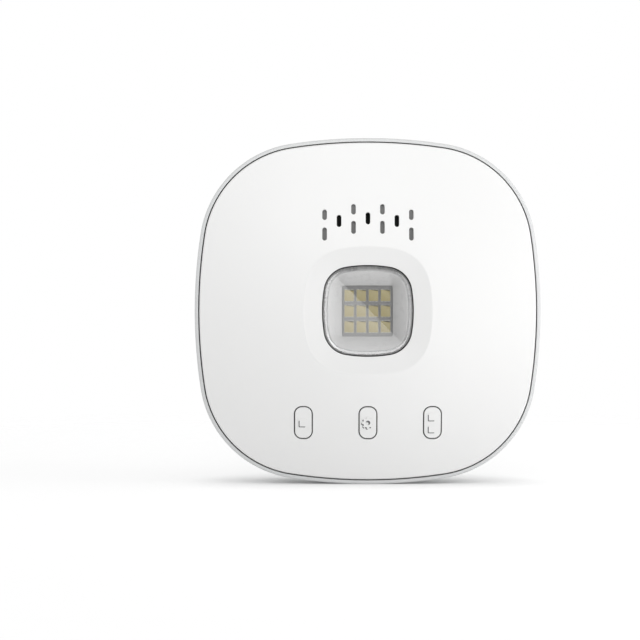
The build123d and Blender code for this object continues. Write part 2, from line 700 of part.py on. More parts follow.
def buzzer_tube(radius, low, high):
    return round_bar(radius, low, high, y=BUZZER_Y)


def grille_mesh():
    return buzzer_tube(BUZZER_R - SOUND_RING_WALL / 2, mesh_z(), backing_z())


def sound_ring():
    ring = buzzer_tube(BUZZER_R, buzzer_top(), mesh_z())
    return ring - buzzer_tube(BUZZER_R - SOUND_RING_WALL, buzzer_top(), mesh_z())


def disc_z():
    return (BOARD_TOP + buzzer_top()) / 2


def buzzer_case():
    room_r = BUZZER_R - BUZZER_WALL
    case = buzzer_tube(BUZZER_R, BOARD_TOP, buzzer_top())
    case -= buzzer_tube(room_r, BOARD_TOP + BUZZER_WALL, buzzer_top() - BUZZER_WALL)
    ledge = buzzer_tube(room_r, disc_z() - BUZZER_WALL, disc_z())
    case += ledge - buzzer_tube(room_r - BUZZER_LEDGE, 0, TALL)
    case -= buzzer_tube(BUZZER_HOLE_R, disc_z(), TALL)
    return case - [round_bar(BUZZER_PIN_R, 0, disc_z(), x, BUZZER_Y) for x in buzzer_pin_xs()]


def buzzer_disc():
    return buzzer_tube(BUZZER_R - BUZZER_WALL - BUZZER_DISC_PLAY, disc_z(), disc_z() + BUZZER_DISC_T)


def buzzer_pin_xs():
    return (-BUZZER_PIN_AT, BUZZER_PIN_AT)


def buzzer_pins():
    return [round_bar(BUZZER_PIN_R, BOARD_Z, disc_z(), x, BUZZER_Y) for x in buzzer_pin_xs()]


# Main board


def main_board():
    height = BOARD_HIGH_Y - BOARD_LOW_Y
    shape = Pos(0, (BOARD_HIGH_Y + BOARD_LOW_Y) / 2) * Rectangle(2 * BOARD_HALF_WIDTH, height)
    board = block(shape & panel_outline(BOARD_EDGE_GAP), BOARD_Z, BOARD_TOP)
    board -= [round_bar(BOARD_SCREW[0] + SCREW_HOLE_PLAY, 0, TALL, x, y) for x, y in board_posts()]
    board -= [round_bar(TOWER_R + BOARD_TO_TOWER, 0, TALL, x, y) for x, y in case_screw_places()]
    board -= [bar(HEADER_PIN, HEADER_PIN, 0, TALL, x, y) for x, y in header_pin_places()]
    board -= [round_bar(BUZZER_PIN_R, 0, TALL, x, BUZZER_Y) for x in buzzer_pin_xs()]
    return board - round_bar(ANTENNA_R, 0, TALL, *ANTENNA_FOOT)


def on_board(sizes):
    x, y, width, height, thick = sizes
    return bar(width, height, BOARD_TOP, BOARD_TOP + thick, x, y)


def radio_board():
    return on_board((*RADIO_AT, *RADIO_BOARD))


def radio_shield():
    width, height, thick = RADIO_SHIELD
    low = BOARD_TOP + RADIO_BOARD[2]
    can = bar(width, height, low, low + thick, RADIO_AT[0], RADIO_AT[1] - RADIO_SHIELD_DROP)
    return fillet(can.edges().filter_by(Axis.Z), RADIO_SHIELD_ROUND)


def control_chips():
    return [on_board(chip) for chip in (MAIN_CHIP, RADIO_CHIP, POWER_CHIP, SOUND_CHIP)]


def board_capacitors():
    x, y, radius, height = LARGE_CAPACITOR
    small_top = BOARD_TOP + SMALL_CAPACITOR_HEIGHT
    small = [round_bar(SMALL_CAPACITOR_R, BOARD_TOP, small_top, *place) for place in SMALL_CAPACITORS]
    return [round_bar(radius, BOARD_TOP, BOARD_TOP + height, x, y), *small]


def board_coil():
    return chamfer(on_board(COIL).edges().filter_by(Axis.Z), COIL_CHAMFER)


def board_crystal():
    return on_board(CRYSTAL)


def chip_parts():
    rows = [n * CHIP_PART_PITCH for n in range(CHIP_PART_COUNT)]
    return [on_board((x, y - down, *CHIP_PART)) for x, y in CHIP_PART_COLUMNS for down in rows]


def radio_antenna():
    """A bent wire: up from the board, along it and back down a little."""
    x, y = ANTENNA_FOOT
    high = BOARD_TOP + ANTENNA_RISE
    far = y + ANTENNA_SPAN
    points = [(x, y, BOARD_Z), (x, y, high), (x, far, high), (x, far, high - ANTENNA_TAIL)]
    path = FilletPolyline(*points, radius=ANTENNA_BEND)
    return sweep(Plane(path @ 0, z_dir=path % 0) * Circle(ANTENNA_R), path)


def power_jack():
    middle_y = JACK_MOUTH_Y + JACK_LENGTH / 2
    body = bar(JACK_WIDTH, JACK_LENGTH, BOARD_Z - JACK_HEIGHT, BOARD_Z, JACK_X, middle_y)
    at_mouth = Pos(JACK_X, JACK_MOUTH_Y, JACK_AXIS_Z) * Rot(-90, 0, 0)
    bore = at_mouth * round_bar(JACK_BORE_R, 0, JACK_BORE_DEPTH)
    return body - bore - power_jack_pin()


def power_jack_pin():
    pin = round_bar(JACK_PIN_R, JACK_PIN_SHORT, JACK_BORE_DEPTH + JACK_PIN_ROOT)
    pin = chamfer(pin.faces().sort_by(Axis.Z)[0].edges(), JACK_PIN_CHAMFER)
    return Pos(JACK_X, JACK_MOUTH_Y, JACK_AXIS_Z) * Rot(-90, 0, 0) * pin


# Buttons


def cap_lip():
    return CAP_GAP + CAP_LIP


def cap_flange_z(x):
    """Underside of the flange that keeps a cap in, clear of the crowned cover at its far corner."""
    far_x = abs(x) + CAP_WIDTH / 2 + cap_lip()
    far_y = CAP_HEIGHT / 2 + cap_lip() - BUTTON_Y
    return crown_z(far_x, far_y, COVER_WALL + CAP_CLEARANCE) - CAP_FLANGE_T


def plunger_top():
    """Top of all three plungers, so that the switches are alike and only the caps' stems differ."""
    return cap_flange_z(BUTTON_PITCH) - STEM_LENGTH


def switch_places():
    return [(x, BUTTON_Y) for x in BUTTON_XS.values()]


def switch_bases():
    base = bar(SWITCH_SIZE, SWITCH_SIZE, BOARD_TOP, BOARD_TOP + SWITCH_BASE_T)
    base -= round_bar(PLUNGER_FOOT_R + PLUNGER_CLEARANCE, BOARD_TOP + SWITCH_FLOOR, TALL)
    return [Pos(x, y) * base for x, y in switch_places()]


def switch_covers():
    low = BOARD_TOP + SWITCH_BASE_T
    plate = bar(SWITCH_SIZE, SWITCH_SIZE, low, low + SWITCH_COVER_T)
    plate -= round_bar(PLUNGER_R + PLUNGER_CLEARANCE, 0, TALL)
    return [Pos(x, y) * plate for x, y in switch_places()]


def switch_plunger(x):
    foot_top = BOARD_TOP + SWITCH_BASE_T - PLUNGER_CLEARANCE
    foot_z = foot_top - PLUNGER_FOOT_T
    foot = round_bar(PLUNGER_FOOT_R, foot_z, foot_top, x, BUTTON_Y)
    return foot + round_bar(PLUNGER_R, foot_z, plunger_top(), x, BUTTON_Y)


def gear_icon():
    tooth = Pos((GEAR_ICON_R + GEAR_HOLE_R) / 2, 0) * Rectangle(GEAR_ICON_R - GEAR_HOLE_R, GEAR_TOOTH)
    teeth = [Rot(0, 0, n * 360 / GEAR_TEETH) * tooth for n in range(GEAR_TEETH)]
    return Circle(GEAR_ROOT_R) + teeth - Circle(GEAR_HOLE_R)


def square_icons(count):
    square = RectangleRounded(SQUARE_ICON, SQUARE_ICON, SQUARE_ICON_ROUND)
    first = -(count - 1) * SQUARE_ICON_PITCH / 2
    return Sketch() + [Pos(0, first + n * SQUARE_ICON_PITCH) * square for n in range(count)]


def button_cap(x, icon):
    place = Pos(x, BUTTON_Y)
    flange_z = cap_flange_z(x)
    cap = block(place * cap_outline(), flange_z, TALL) & crown(-CAP_PROUD)
    cap = round_crown_edge(cap, CAP_ROUND)
    cap += block(place * cap_outline(cap_lip()), flange_z, TALL) & crown(COVER_WALL + CAP_CLEARANCE)
    cap += block(place * icon, flange_z, TALL) & crown(-CAP_PROUD - ICON_PROUD)
    return cap + round_bar(STEM_R, plunger_top(), flange_z, x, BUTTON_Y)


# Wall bracket


def wall_bracket():
    plate = block(RectangleRounded(BRACKET_WIDTH, BRACKET_HEIGHT, BRACKET_ROUND), 0, BRACKET_T)
    plate = chamfer(plate.faces().sort_by(Axis.Z)[-1].edges(), BRACKET_CHAMFER)
    head_z = BAY_TOP + HOOK_GAP
    for x, y in hook_places():
        plate += bar(HOOK_WIDTH, HOOK_HEIGHT, BRACKET_T, head_z, x, y)
        plate += bar(HOOK_HEAD_WIDTH, HOOK_HEIGHT, head_z, head_z + HOOK_HEAD_T, x, y)
    sink = Cone(WALL_SCREW_R, WALL_SINK_R, WALL_SINK_DEPTH, align=(Align.CENTER, Align.CENTER, Align.MIN))
    for x in (-WALL_SCREW_PITCH / 2, WALL_SCREW_PITCH / 2):
        plate -= round_bar(WALL_SCREW_R, 0, BRACKET_T, x)
        plate -= Pos(x, 0, BRACKET_T - WALL_SINK_DEPTH) * sink
    return plate


PARTS = {
    "wall_bracket": wall_bracket,
    "rear_housing": rear_housing,
    "front_cover": front_cover,
    "case_screws": case_screws,
    "light_window": light_window,
    "window_gasket": window_gasket,
    "light_reflector": light_reflector,
    "led_board": led_board,
    "led_packages": led_packages,
    "led_phosphors": led_phosphors,
    "lamp_screws": lamp_screws,
    "board_header": board_header,
    "board_header_pins": board_header_pins,
    "grille_backing": grille_backing,
    "grille_mesh": grille_mesh,
    "sound_ring": sound_ring,
    "buzzer_case": buzzer_case,
    "buzzer_disc": buzzer_disc,
    "buzzer_pins": buzzer_pins,
    "main_board": main_board,
    "board_screws": board_screws,
    "radio_board": radio_board,
    "radio_shield": radio_shield,
    "control_chips": control_chips,
    "board_capacitors": board_capacitors,
    "board_coil": board_coil,
    "board_crystal": board_crystal,
    "chip_parts": chip_parts,
    "radio_antenna": radio_antenna,
    "power_jack": power_jack,
    "power_jack_pin": power_jack_pin,
    "switch_bases": switch_bases,
    "switch_covers": switch_covers,
}
ICONS = {"left": square_icons(1), "settings": gear_icon(), "right": square_icons(2)}


def save(name, shape):
    """Writes one sub-part, turned so that the wall is the XZ plane and the front faces -Y."""
    solids = [solid for piece in (shape if isinstance(shape, list) else [shape]) for solid in piece.solids()]
    turned = [Rot(90, 0, 0) * solid for solid in solids]
    export_step(turned[0] if len(turned) == 1 else Compound(children=turned), f"parts/{name}.step")


os.makedirs("parts", exist_ok=True)
for name, make in PARTS.items():
    save(name, make())
for name, x in BUTTON_XS.items():
    save(f"{name}_button_cap", button_cap(x, ICONS[name]))
    save(f"{name}_switch_plunger", switch_plunger(x))
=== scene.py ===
# %% [markdown]
# # A garage door wall panel, dressed for its picture
# The panel is already built as solids at its real size. Here it gets its surfaces, the small things that
# a solid model leaves out, a floor to stand on, soft studio light and a camera. Nothing that was built is
# moved or resized: a finish is laid on it, and new pieces are set where the solids say they belong.
#
# Loading comes first, because every later cell asks the frame where things are.

# %% Load the frame
import json
from math import atan2, cos, pi, radians, sin, sqrt

import bmesh
import bpy
from mathutils import Matrix, Vector
from mathutils.bvhtree import BVHTree


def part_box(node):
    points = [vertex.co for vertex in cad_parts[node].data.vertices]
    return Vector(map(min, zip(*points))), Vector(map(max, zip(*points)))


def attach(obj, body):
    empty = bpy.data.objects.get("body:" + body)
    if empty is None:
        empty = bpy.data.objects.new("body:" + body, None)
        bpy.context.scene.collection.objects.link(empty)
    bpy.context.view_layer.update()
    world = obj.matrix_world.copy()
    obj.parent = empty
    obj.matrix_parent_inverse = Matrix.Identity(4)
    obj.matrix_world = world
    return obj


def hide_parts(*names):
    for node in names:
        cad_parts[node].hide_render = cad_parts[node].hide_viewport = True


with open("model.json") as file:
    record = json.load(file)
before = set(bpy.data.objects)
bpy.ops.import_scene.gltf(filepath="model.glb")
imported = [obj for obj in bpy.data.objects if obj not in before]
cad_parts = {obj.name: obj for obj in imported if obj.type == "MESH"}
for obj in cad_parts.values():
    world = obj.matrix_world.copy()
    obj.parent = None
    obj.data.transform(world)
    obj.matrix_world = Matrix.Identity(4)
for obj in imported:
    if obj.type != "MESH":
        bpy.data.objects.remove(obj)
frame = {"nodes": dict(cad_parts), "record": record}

MM = 0.001
scene = bpy.context.scene
nodes = frame["nodes"]
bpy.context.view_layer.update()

# %% [markdown]
# ## Writing shader maths as Python
# A procedural finish is mostly arithmetic on patterns: a mask times a depth, one minus a blend. Wiring
# that by hand hides what it means, so one small class wraps the output of a node and lets Python's own
# operators add the Math nodes. `1 - mask` works as well as `mask - 1`, because plus and minus have their
# reflected forms too. Every other kind of node comes from one method: its settings are set first, then
# each of its sockets gets a number, a colour or a link.

# %% A value that can be used in expressions, and a tree of nodes
class Signal:
    """The output of a node, as a number that varies over a surface."""

    def __init__(self, tree, socket):
        self.tree = tree
        self.socket = socket

    def math(self, operation, first, second=0):
        return self.tree.node("Math", {"operation": operation}, {0: first, 1: second})

    def __add__(self, other):
        return self.math("ADD", self, other)

    def __radd__(self, other):
        return self.math("ADD", other, self)

    def __sub__(self, other):
        return self.math("SUBTRACT", self, other)

    def __rsub__(self, other):
        return self.math("SUBTRACT", other, self)

    def __mul__(self, other):
        return self.math("MULTIPLY", self, other)

    def __abs__(self):
        return self.math("ABSOLUTE", self)

    def sine(self):
        return self.math("SINE", self)

    def at_least(self, other):
        return self.math("MAXIMUM", self, other)

    def at_most(self, other):
        return self.math("MINIMUM", self, other)


class NodeTree:
    """Adds nodes to the tree of a material or of the world."""

    def __init__(self, owner):
        owner.use_nodes = True
        self.owner = owner
        self.nodes = owner.node_tree.nodes
        self.links = owner.node_tree.links

    def feed(self, socket, value):
        if isinstance(value, Signal):
            self.links.new(value.socket, socket)
        else:
            socket.default_value = value

    def node(self, kind, settings=None, sockets=None, output=0):
        made = self.nodes.new(f"ShaderNode{kind}")
        for name, value in (settings or {}).items():
            if name == "stops":
                set_stops(made.color_ramp.elements, value)
            else:
                setattr(made, name, value)
        for name, value in (sockets or {}).items():
            self.feed(made.inputs[name], value)
        return Signal(self, made.outputs[output])

    def vectors(self, operation, first, second, output="Value"):
        """What becomes of two vectors: a number, or the vector where that output is asked for."""
        return self.node("VectorMath", {"operation": operation}, {0: first, 1: second}, output)


def grey(level):
    return (level, level, level, 1.0)


def set_stops(elements, stops):
    """Gives a colour ramp one stop for each position and grey level."""
    while len(elements) < len(stops):
        elements.new(1.0)
    for element, (position, level) in zip(elements, stops):
        element.position = position
        element.color = grey(level)


# %% [markdown]
# ## What every finish is made of
# All finishes start from the same shader, Principled BSDF. What is the same all over a surface, such as
# its index of refraction, is written straight on the shader's own socket. Only what varies is linked:
# colour, roughness and the bump. Patterns are laid out in metres in the panel's own frame, through the
# object coordinates, so that a grain of a quarter of a millimetre is that size on every piece.

# %% A finish
class Finish(NodeTree):
    """A material with one Principled shader, and the patterns that vary it."""

    def __init__(self, name, colour, roughness, **constants):
        super().__init__(bpy.data.materials.new(name))
        self.shader = self.nodes["Principled BSDF"]
        self.base = Signal(self, self.shader.outputs[0])
        self.colour = (*colour, 1.0)
        self.roughness = roughness
        self.set(Base_Color=self.colour, Roughness=roughness, **constants)

    def set(self, **sockets):
        for name, value in sockets.items():
            self.feed(self.shader.inputs[name.replace("_", " ")], value)

    def blend(self, mask, first, second):
        """The first shader where the mask is 0, the second where it is 1."""
        return self.node("MixShader", {}, {0: mask, 1: first, 2: second})

    def show(self, shader):
        """Makes that shader the surface, in place of the plain Principled one."""
        self.feed(self.nodes["Material Output"].inputs["Surface"], shader)

    def place(self):
        """The point on the piece, in metres."""
        return self.node("TexCoord", output="Object")

    def along(self, axis):
        """How far along one axis of the frame the point is."""
        return self.node("SeparateXYZ", {}, {0: self.place()}, output=axis)

    def noise(self, size, detail=2.0, place=None, sharpness=0.5):
        """Smooth random variation from 0 to 1, with features of that size."""
        sockets = {"Vector": place or self.place(), "Scale": 1 / size}
        return self.node("TexNoise", {}, {**sockets, "Detail": detail, "Roughness": sharpness})

    def ramp(self, signal, *stops):
        return self.node("ValToRGB", {"stops": stops}, {0: signal})

    def between(self, signal, start, end, course="LINEAR"):
        """0 where the signal has the first value, 1 where it has the second."""
        sockets = {"Value": signal, "From Min": start, "From Max": end}
        return self.node("MapRange", {"interpolation_type": course}, sockets)

    def mix(self, mask, first, second):
        """The first colour where the mask is 0, the second where it is 1."""
        sockets = {0: mask, 6: first, 7: second}
        return self.node("Mix", {"data_type": "RGBA"}, sockets, output=2)

    def shade(self, mask, depth):
        """Lets the finish's own colour get darker by that share where the mask is 1."""
        darker = tuple(channel * (1 - depth) for channel in self.colour[:3])
        self.set(Base_Color=self.mix(mask, self.colour, (*darker, 1.0)))

    def vary_roughness(self, mask, swing):
        self.set(Roughness=self.roughness + (mask - 0.5) * swing)

    def bump(self, height, distance):
        """Raises the surface by up to that distance where the height is 1."""
        sockets = {"Height": height, "Distance": distance, "Strength": 1.0}
        self.set(Normal=self.node("Bump", {}, sockets))


finishes = {}


def lay(name, finish):
    """Keeps a finish by name: that of its slot in the record, or its own where the record has none."""
    finishes[name] = finish
    finish.owner["slot"] = name
    print(f"{name}: {len(finish.nodes)} shader nodes")


# %% [markdown]
# ## The camera
# The picture was taken level and from far away: the rim is as wide on the left as on the right, so the
# lens is a long one. An 85 mm lens puts the panel's 146 mm on 346 of the 640 pixels at this distance. The
# panel stands right of the middle and a little above it, so the camera stands that much to its left and
# lower, and looks straight ahead. Moving the camera rather than turning it keeps the panel's edges true.

# %% Camera
LENS = 85.0
SENSOR = 36.0
PICTURE_WIDTH = 640
PANEL_CENTRE_X = 367.7  # pixels from the picture's left edge
PANEL_CENTRE_Y = 310.95  # pixels from its top edge
PANEL_WIDTH_PIXELS = 346.4

low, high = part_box("rear_housing")
panel_width = high.x - low.x
rim_y = low.y
scale = PANEL_WIDTH_PIXELS / panel_width
distance = PICTURE_WIDTH * LENS / SENSOR / scale
camera = bpy.data.objects.new("camera", bpy.data.cameras.new("camera"))
camera.data.lens = LENS
camera.data.sensor_width = SENSOR
camera.data.clip_start = 0.01
camera.location = (
    (PICTURE_WIDTH / 2 - PANEL_CENTRE_X) / scale,
    rim_y - distance,
    (PANEL_CENTRE_Y - PICTURE_WIDTH / 2) / scale,
)
camera.rotation_euler = (pi / 2, 0, 0)
scene.collection.objects.link(camera)
scene.camera = camera
print("camera at", [round(x, 4) for x in camera.location], "and", round(distance, 3), "m from the rim")

# %% [markdown]
# ## The stage
# The panel stands on a white floor that has no visible end. Near the panel the floor is a real diffuse
# surface, so it takes the contact shadow, and it adds a little light of its own towards the camera only,
# which lifts it to paper white without throwing more light on the panel. Ambient occlusion holds that
# light back where the panel stands close above the floor, or it would wash out the contact shadow.
# Further off the floor fades away into the world, and seen from below it lets the camera through.
#
# The world is the white room. It is a little dim where it lights the panel, which leaves the shadows some
# depth, and pure white where the camera or a refracted ray looks at it. Mirrors see a room as it would
# be: white near the floor and on the left, greyer on the right and darkest at the ceiling. This is what
# draws the round edge of the clear window, pale below and dark above.

# %% Floor and world
FLOOR_REACH = 1.2
FLOOR_FADE = (0.16, 0.5)  # metres from the panel where it starts to fade and where it is gone
FLOOR_COLOUR = (0.82, 0.82, 0.82)
FLOOR_LIFT = 0.33
CONTACT_REACH = 0.025  # how far from the panel the floor's own light is held back
AMBIENT = 0.76
ROOM_IN_FRONT = 0.75  # the room's brightness as a mirror sees it
ROOM_SLOPE = (-0.25, 0.0, -0.6)


def seen_directly(tree):
    """1 for what the camera, a reflection or a window looks at, 0 for what only lights the scene."""
    seen = tree.node("LightPath", output="Is Camera Ray")
    for ray in ("Is Glossy Ray", "Is Transmission Ray"):
        seen = seen.at_least(tree.node("LightPath", output=ray))
    bounced = tree.node("LightPath", output="Diffuse Depth")
    return seen * (1 - bounced.at_most(1))


def floor_finish():
    finish = Finish("floor_white", FLOOR_COLOUR, 0.9, Specular_IOR_Level=0.0)
    reach = {"Distance": CONTACT_REACH}
    open_sky = finish.node("AmbientOcclusion", {"samples": 8}, reach, output="AO")
    glow = finish.node("Emission", {}, {"Color": grey(1.0), "Strength": FLOOR_LIFT})
    glowing = finish.node("AddShader", {}, {0: finish.base, 1: glow})
    lifted = finish.blend(seen_directly(finish) * open_sky, finish.base, glowing)
    clear = finish.node("BsdfTransparent")
    from_below = finish.node("NewGeometry", output="Backfacing")
    away = finish.vectors("DISTANCE", finish.place(), (0, 0, 0))
    faded = finish.between(away, *FLOOR_FADE, "SMOOTHSTEP")
    finish.show(finish.blend(faded.at_least(from_below), lifted, clear))
    return finish


def build_floor():
    mesh = bpy.data.meshes.new("floor")
    corners = [(-1, -1), (1, -1), (1, 1), (-1, 1)]
    mesh.from_pydata([(x * FLOOR_REACH, y * FLOOR_REACH, low.z) for x, y in corners], [], [(0, 1, 2, 3)])
    floor = bpy.data.objects.new("floor", mesh)
    floor.data.materials.append(floor_finish().owner)
    floor.visible_glossy = False  # mirrors see the white room, and the cards below, instead of the floor
    scene.collection.objects.link(floor)
    return floor


def light_world():
    world = NodeTree(bpy.data.worlds.new("studio"))
    scene.world = world.owner
    direction = world.node("TexCoord", output="Generated")
    sloped = world.vectors("DOT_PRODUCT", direction, ROOM_SLOPE)
    mirrored = world.node("LightPath", output="Is Glossy Ray")
    white = 1 + mirrored * (ROOM_IN_FRONT - 1 + sloped)
    strength = AMBIENT + seen_directly(world) * (white - AMBIENT)
    background = world.nodes["Background"]
    world.feed(background.inputs["Color"], grey(1.0))
    world.feed(background.inputs["Strength"], strength)


floor = build_floor()
light_world()
print("floor at", round(low.z / MM, 1), "mm, under the panel's lower edge")

# %% [markdown]
# ## The lamps
# A pure white product on white is lit mostly by the white room itself, which is the world above. What is
# left for the lamps is to give the casing its shape. A wall of soft light on the right makes the rim and
# the sides of the dish differ. Two boxes in front have a grid, which is a narrow beam: each one lights
# the part of the casing that lies straight behind it and fades off sideways, so the face gets paler to
# the right and to the top while the dish stays evenly lit. The next four boxes are cards for the lamp
# window to mirror. The big one in front is set cornerwise, and its straight edge is the diagonal across
# the window. Those on the left, below and on the right light the round edge of the window, and nothing
# does so above, so that its top stays dark. The last box sends a little light up into the funnel behind
# the window, as a white table does.
#
# Light linking keeps each to its work. The cards shine on the window alone and the last box on the funnel
# alone, the window mirrors no other box, and the light of the last one passes the floor that it stands
# under.

# %% Soft boxes
def linking(name, piece, state):
    """A list of one piece that a lamp leaves out (EXCLUDE), or shines on alone (INCLUDE)."""
    linked = bpy.data.collections.new(name)
    linked.objects.link(piece)
    linked.collection_objects[0].light_linking.link_state = state
    return linked


def soft_box(name, place, target, size, watts, spread=180, roll=0, only=None):
    """A rectangular lamp that faces the target. It lights all but the window, or one piece only."""
    lamp = bpy.data.lights.new(name, "AREA")
    lamp.shape = "RECTANGLE"
    lamp.size, lamp.size_y = size
    lamp.energy = watts
    lamp.spread = radians(spread)
    box = bpy.data.objects.new(name, lamp)
    aim = (Vector(target) - Vector(place)).to_track_quat("-Z", "Y").to_matrix().to_4x4()
    box.matrix_world = Matrix.Translation(place) @ aim @ Matrix.Rotation(radians(roll), 4, "Z")
    state = "INCLUDE" if only else "EXCLUDE"
    box.light_linking.receiver_collection = linking(f"{name} lights", nodes[only or "light_window"], state)
    box.visible_camera = False
    scene.collection.objects.link(box)
    print(f"{name}: {size[0]} by {size[1]} m, {watts} W")
    return box


PANEL_FRONT = (0.0, rim_y, 0.0)
WINDOW_AIM = (-0.52, 0, -0.49)  # straight behind the window_box
soft_box("right_wall", (1.25, -0.15, 0.34), PANEL_FRONT, (0.7, 0.7), 2.8)
soft_box("right_box", (1.18, -0.58, 0.0), PANEL_FRONT, (0.7, 0.7), 1.25)
soft_box("near_right", (0.61, -0.38, 0.0), PANEL_FRONT, (0.3, 0.3), 0.235)
soft_box("close_right", (0.21, -0.24, 0.0), PANEL_FRONT, (0.12, 0.12), 0.035)
soft_box("beam_right", (0.35, -0.93, 0.0), (0.35, 0, 0.0), (0.3, 0.3), 0.27, spread=50)
soft_box("beam_top", (-0.1, -0.93, 0.3), (-0.1, 0, 0.3), (0.3, 0.3), 0.27, spread=45)
soft_box("window_box", (-0.52, -0.93, -0.49), WINDOW_AIM, (1.6, 1.5), 11.0, roll=-45, only="light_window")
soft_box("left_card", (-0.50, -0.36, 0.0), PANEL_FRONT, (0.7, 1.2), 10.5, only="light_window")
soft_box("low_card", (0.0, -0.41, -0.46), PANEL_FRONT, (1.2, 0.7), 10.5, only="light_window")
soft_box("right_card", (0.52, -0.33, 0.0), PANEL_FRONT, (0.7, 1.2), 4.6, only="light_window")
low_fill = soft_box("low_fill", (0.0, -0.23, -0.35), PANEL_FRONT, (0.2, 0.2), 0.27, only="light_reflector")
low_fill.light_linking.blocker_collection = linking("low_fill passes", floor, "EXCLUDE")

# %% [markdown]
# ## White moulded plastic
# The front is satin white plastic. The mould was spark-eroded, so at arm's length its shine is even and
# soft, and close to it has a fine grain. Three things make it: a grain of a quarter of a millimetre in
# the bump, a much slower waviness in the gloss, and a trace of uneven tint. The caps come from another
# mould and are a little smoother. The dish round the window gets painted shade, which makes it a few
# hundredths greyer than the face, as a recess in shadow. Where that shade ends comes from a sum of cubes:
# the cube root of x cubed plus z cubed is the same all along a square with bowed sides, just as the root
# of the squares is the same all along a circle.

# %% Casing, buttons and bracket
SATIN_WHITE = (0.87, 0.87, 0.865)
OFF_WHITE = (0.78, 0.78, 0.77)
PLASTIC_IOR = 1.49
TINT_PATCH = 30 * MM
GLOSS_PATCH = 9 * MM
COVER_TINT = 0.012
# Painted shade in the dish round the window: how much darker it gets, and where it starts and is full.
DISH_PAINTED_SHADE = 0.036
DISH_SHADE_EDGE = (27.2 * MM, 26.2 * MM)  # where the dish's tint starts and is full, from the window's middle


def moulded(name, colour, roughness, grain=0.25 * MM, depth=0.004 * MM, tint=COVER_TINT):
    finish = Finish(name, colour, roughness, IOR=PLASTIC_IOR)
    finish.shade(finish.noise(TINT_PATCH, 3.0), tint)
    finish.vary_roughness(finish.noise(GLOSS_PATCH, 4.0), 0.06)
    finish.bump(finish.noise(grain, 3.0), depth)
    return finish


def bowed_distance(finish):
    """How far out a point is from the window's middle, measured with cubes."""
    across, up = [abs(finish.along(axis)) for axis in "XZ"]
    total = across * across * across + up * up * up
    return total.math("POWER", total, 1 / 3)


def cover_plastic():
    """The plastic of the casing, with painted shade in the dish."""
    finish = moulded("satin_white_plastic", SATIN_WHITE, 0.38)
    dish_painted_shade = finish.between(bowed_distance(finish), *DISH_SHADE_EDGE)
    both = COVER_TINT + DISH_PAINTED_SHADE
    cloudy = finish.noise(TINT_PATCH, 3.0)
    # A random tint all over, and painted shade in the dish.
    finish.shade(cloudy * (COVER_TINT / both) + dish_painted_shade * (DISH_PAINTED_SHADE / both), both)
    return finish


lay("cover_white", cover_plastic())
lay("button_white", moulded("smooth_white_plastic", SATIN_WHITE, 0.33, depth=0.002 * MM))
lay("housing_grey", moulded("textured_grey_plastic", (0.70, 0.71, 0.71), 0.5, 0.35 * MM, 0.01 * MM, 0.02))
lay("bracket_white", moulded("textured_offwhite_plastic", OFF_WHITE, 0.55, 0.4 * MM, 0.012 * MM, 0.02))

# %% [markdown]
# ## The clear window
# Polycarbonate, polished on both sides. A refracting shader would leave the lamp inside in the dark,
# because lamps are not found through a refracting surface. The wall is thin, so light may as well go
# straight through: a transparent shader with a trace of grey, and a mirror mixed in by Fresnel's law.
# Only the outer faces mirror, with an index that gives the sum of what the two faces of the wall send
# back.
#
# One thing is lost that way. Seen from the front, the upright sides of a real window reflect all light
# back into themselves, so nothing can be seen through them. Here its outer sides get a much darker grey
# instead. They are where the surface faces neither the front nor the back, and looks away from the middle
# of the window. The upper shoulder would bend the view into the unlit casing, so it gets a little of that
# grey as painted shade.

# %% Window
CLEAR = 0.945  # what each face of the wall lets through
DARK = 0.25  # what the upright outer sides let through
SIDE_FACING = ((0.02, 1), (0.15, 0))  # a side is where the surface faces the front or back by less than this
SHOULDER_PAINTED_SHADE = ((0.16, 0), (0.6, 0.42))  # how much darker the upper shoulder gets as it turns upwards
BOTH_FACES_IOR = 1.8
MIRROR_MOST = 0.92  # the moulded edge is never a perfect mirror


def clear_plastic():
    finish = Finish("clear_polycarbonate", grey(1.0)[:3], 0.02, Metallic=1.0)
    clear, dark = [finish.node("BsdfTransparent", {}, {"Color": grey(level)}) for level in (CLEAR, DARK)]
    facing = finish.node("NewGeometry", output="Normal")
    side = finish.ramp(abs(finish.vectors("DOT_PRODUCT", facing, (0, 1, 0))), *SIDE_FACING)
    outwards = finish.vectors("DOT_PRODUCT", facing, finish.place())
    outside = side * outwards.math("GREATER_THAN", outwards)
    # Painted shade: the upper shoulder lets less through as it turns upwards.
    shoulder = finish.ramp(finish.vectors("DOT_PRODUCT", facing, (0, 0, 1)), *SHOULDER_PAINTED_SHADE)
    through = finish.blend(outside.at_least(shoulder), clear, dark)
    inner_face = finish.node("NewGeometry", output="Backfacing")
    fresnel = finish.node("Fresnel", {}, {"IOR": BOTH_FACES_IOR})
    finish.show(finish.blend(fresnel.at_most(MIRROR_MOST) * (1 - inner_face), through, finish.base))
    return finish


lay("window_clear", clear_plastic())

# %% [markdown]
# ## Behind the window
# The reflector is the same white plastic with a smooth, brighter shine. It gets painted shade that makes
# it greyer towards its hole, deep in the funnel. The board has a pale solder mask, and each lamp is a
# white package filled with yellowish silicone.

# %% Reflector, board and LEDs
FUNNEL_PAINTED_SHADE = 0.35
FUNNEL_SHADE_DEPTH = 5 * MM  # from the reflector's front to where it is greyest


def glossy(name, colour, roughness):
    finish = Finish(name, colour, roughness, IOR=1.5)
    finish.shade(finish.noise(6 * MM, 3.0), 0.02)
    finish.vary_roughness(finish.noise(2 * MM, 3.0), 0.08)
    return finish


def reflector_plastic():
    finish = glossy("reflector_white_plastic", (0.70, 0.70, 0.70), 0.28)
    front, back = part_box("light_reflector")
    # Painted shade: greyer from the reflector's front towards its hole.
    finish.shade(finish.between(finish.along("Y"), front.y, front.y + FUNNEL_SHADE_DEPTH), FUNNEL_PAINTED_SHADE)
    print("reflector from", round(front.y / MM, 2), "to", round(back.y / MM, 2), "mm")
    return finish


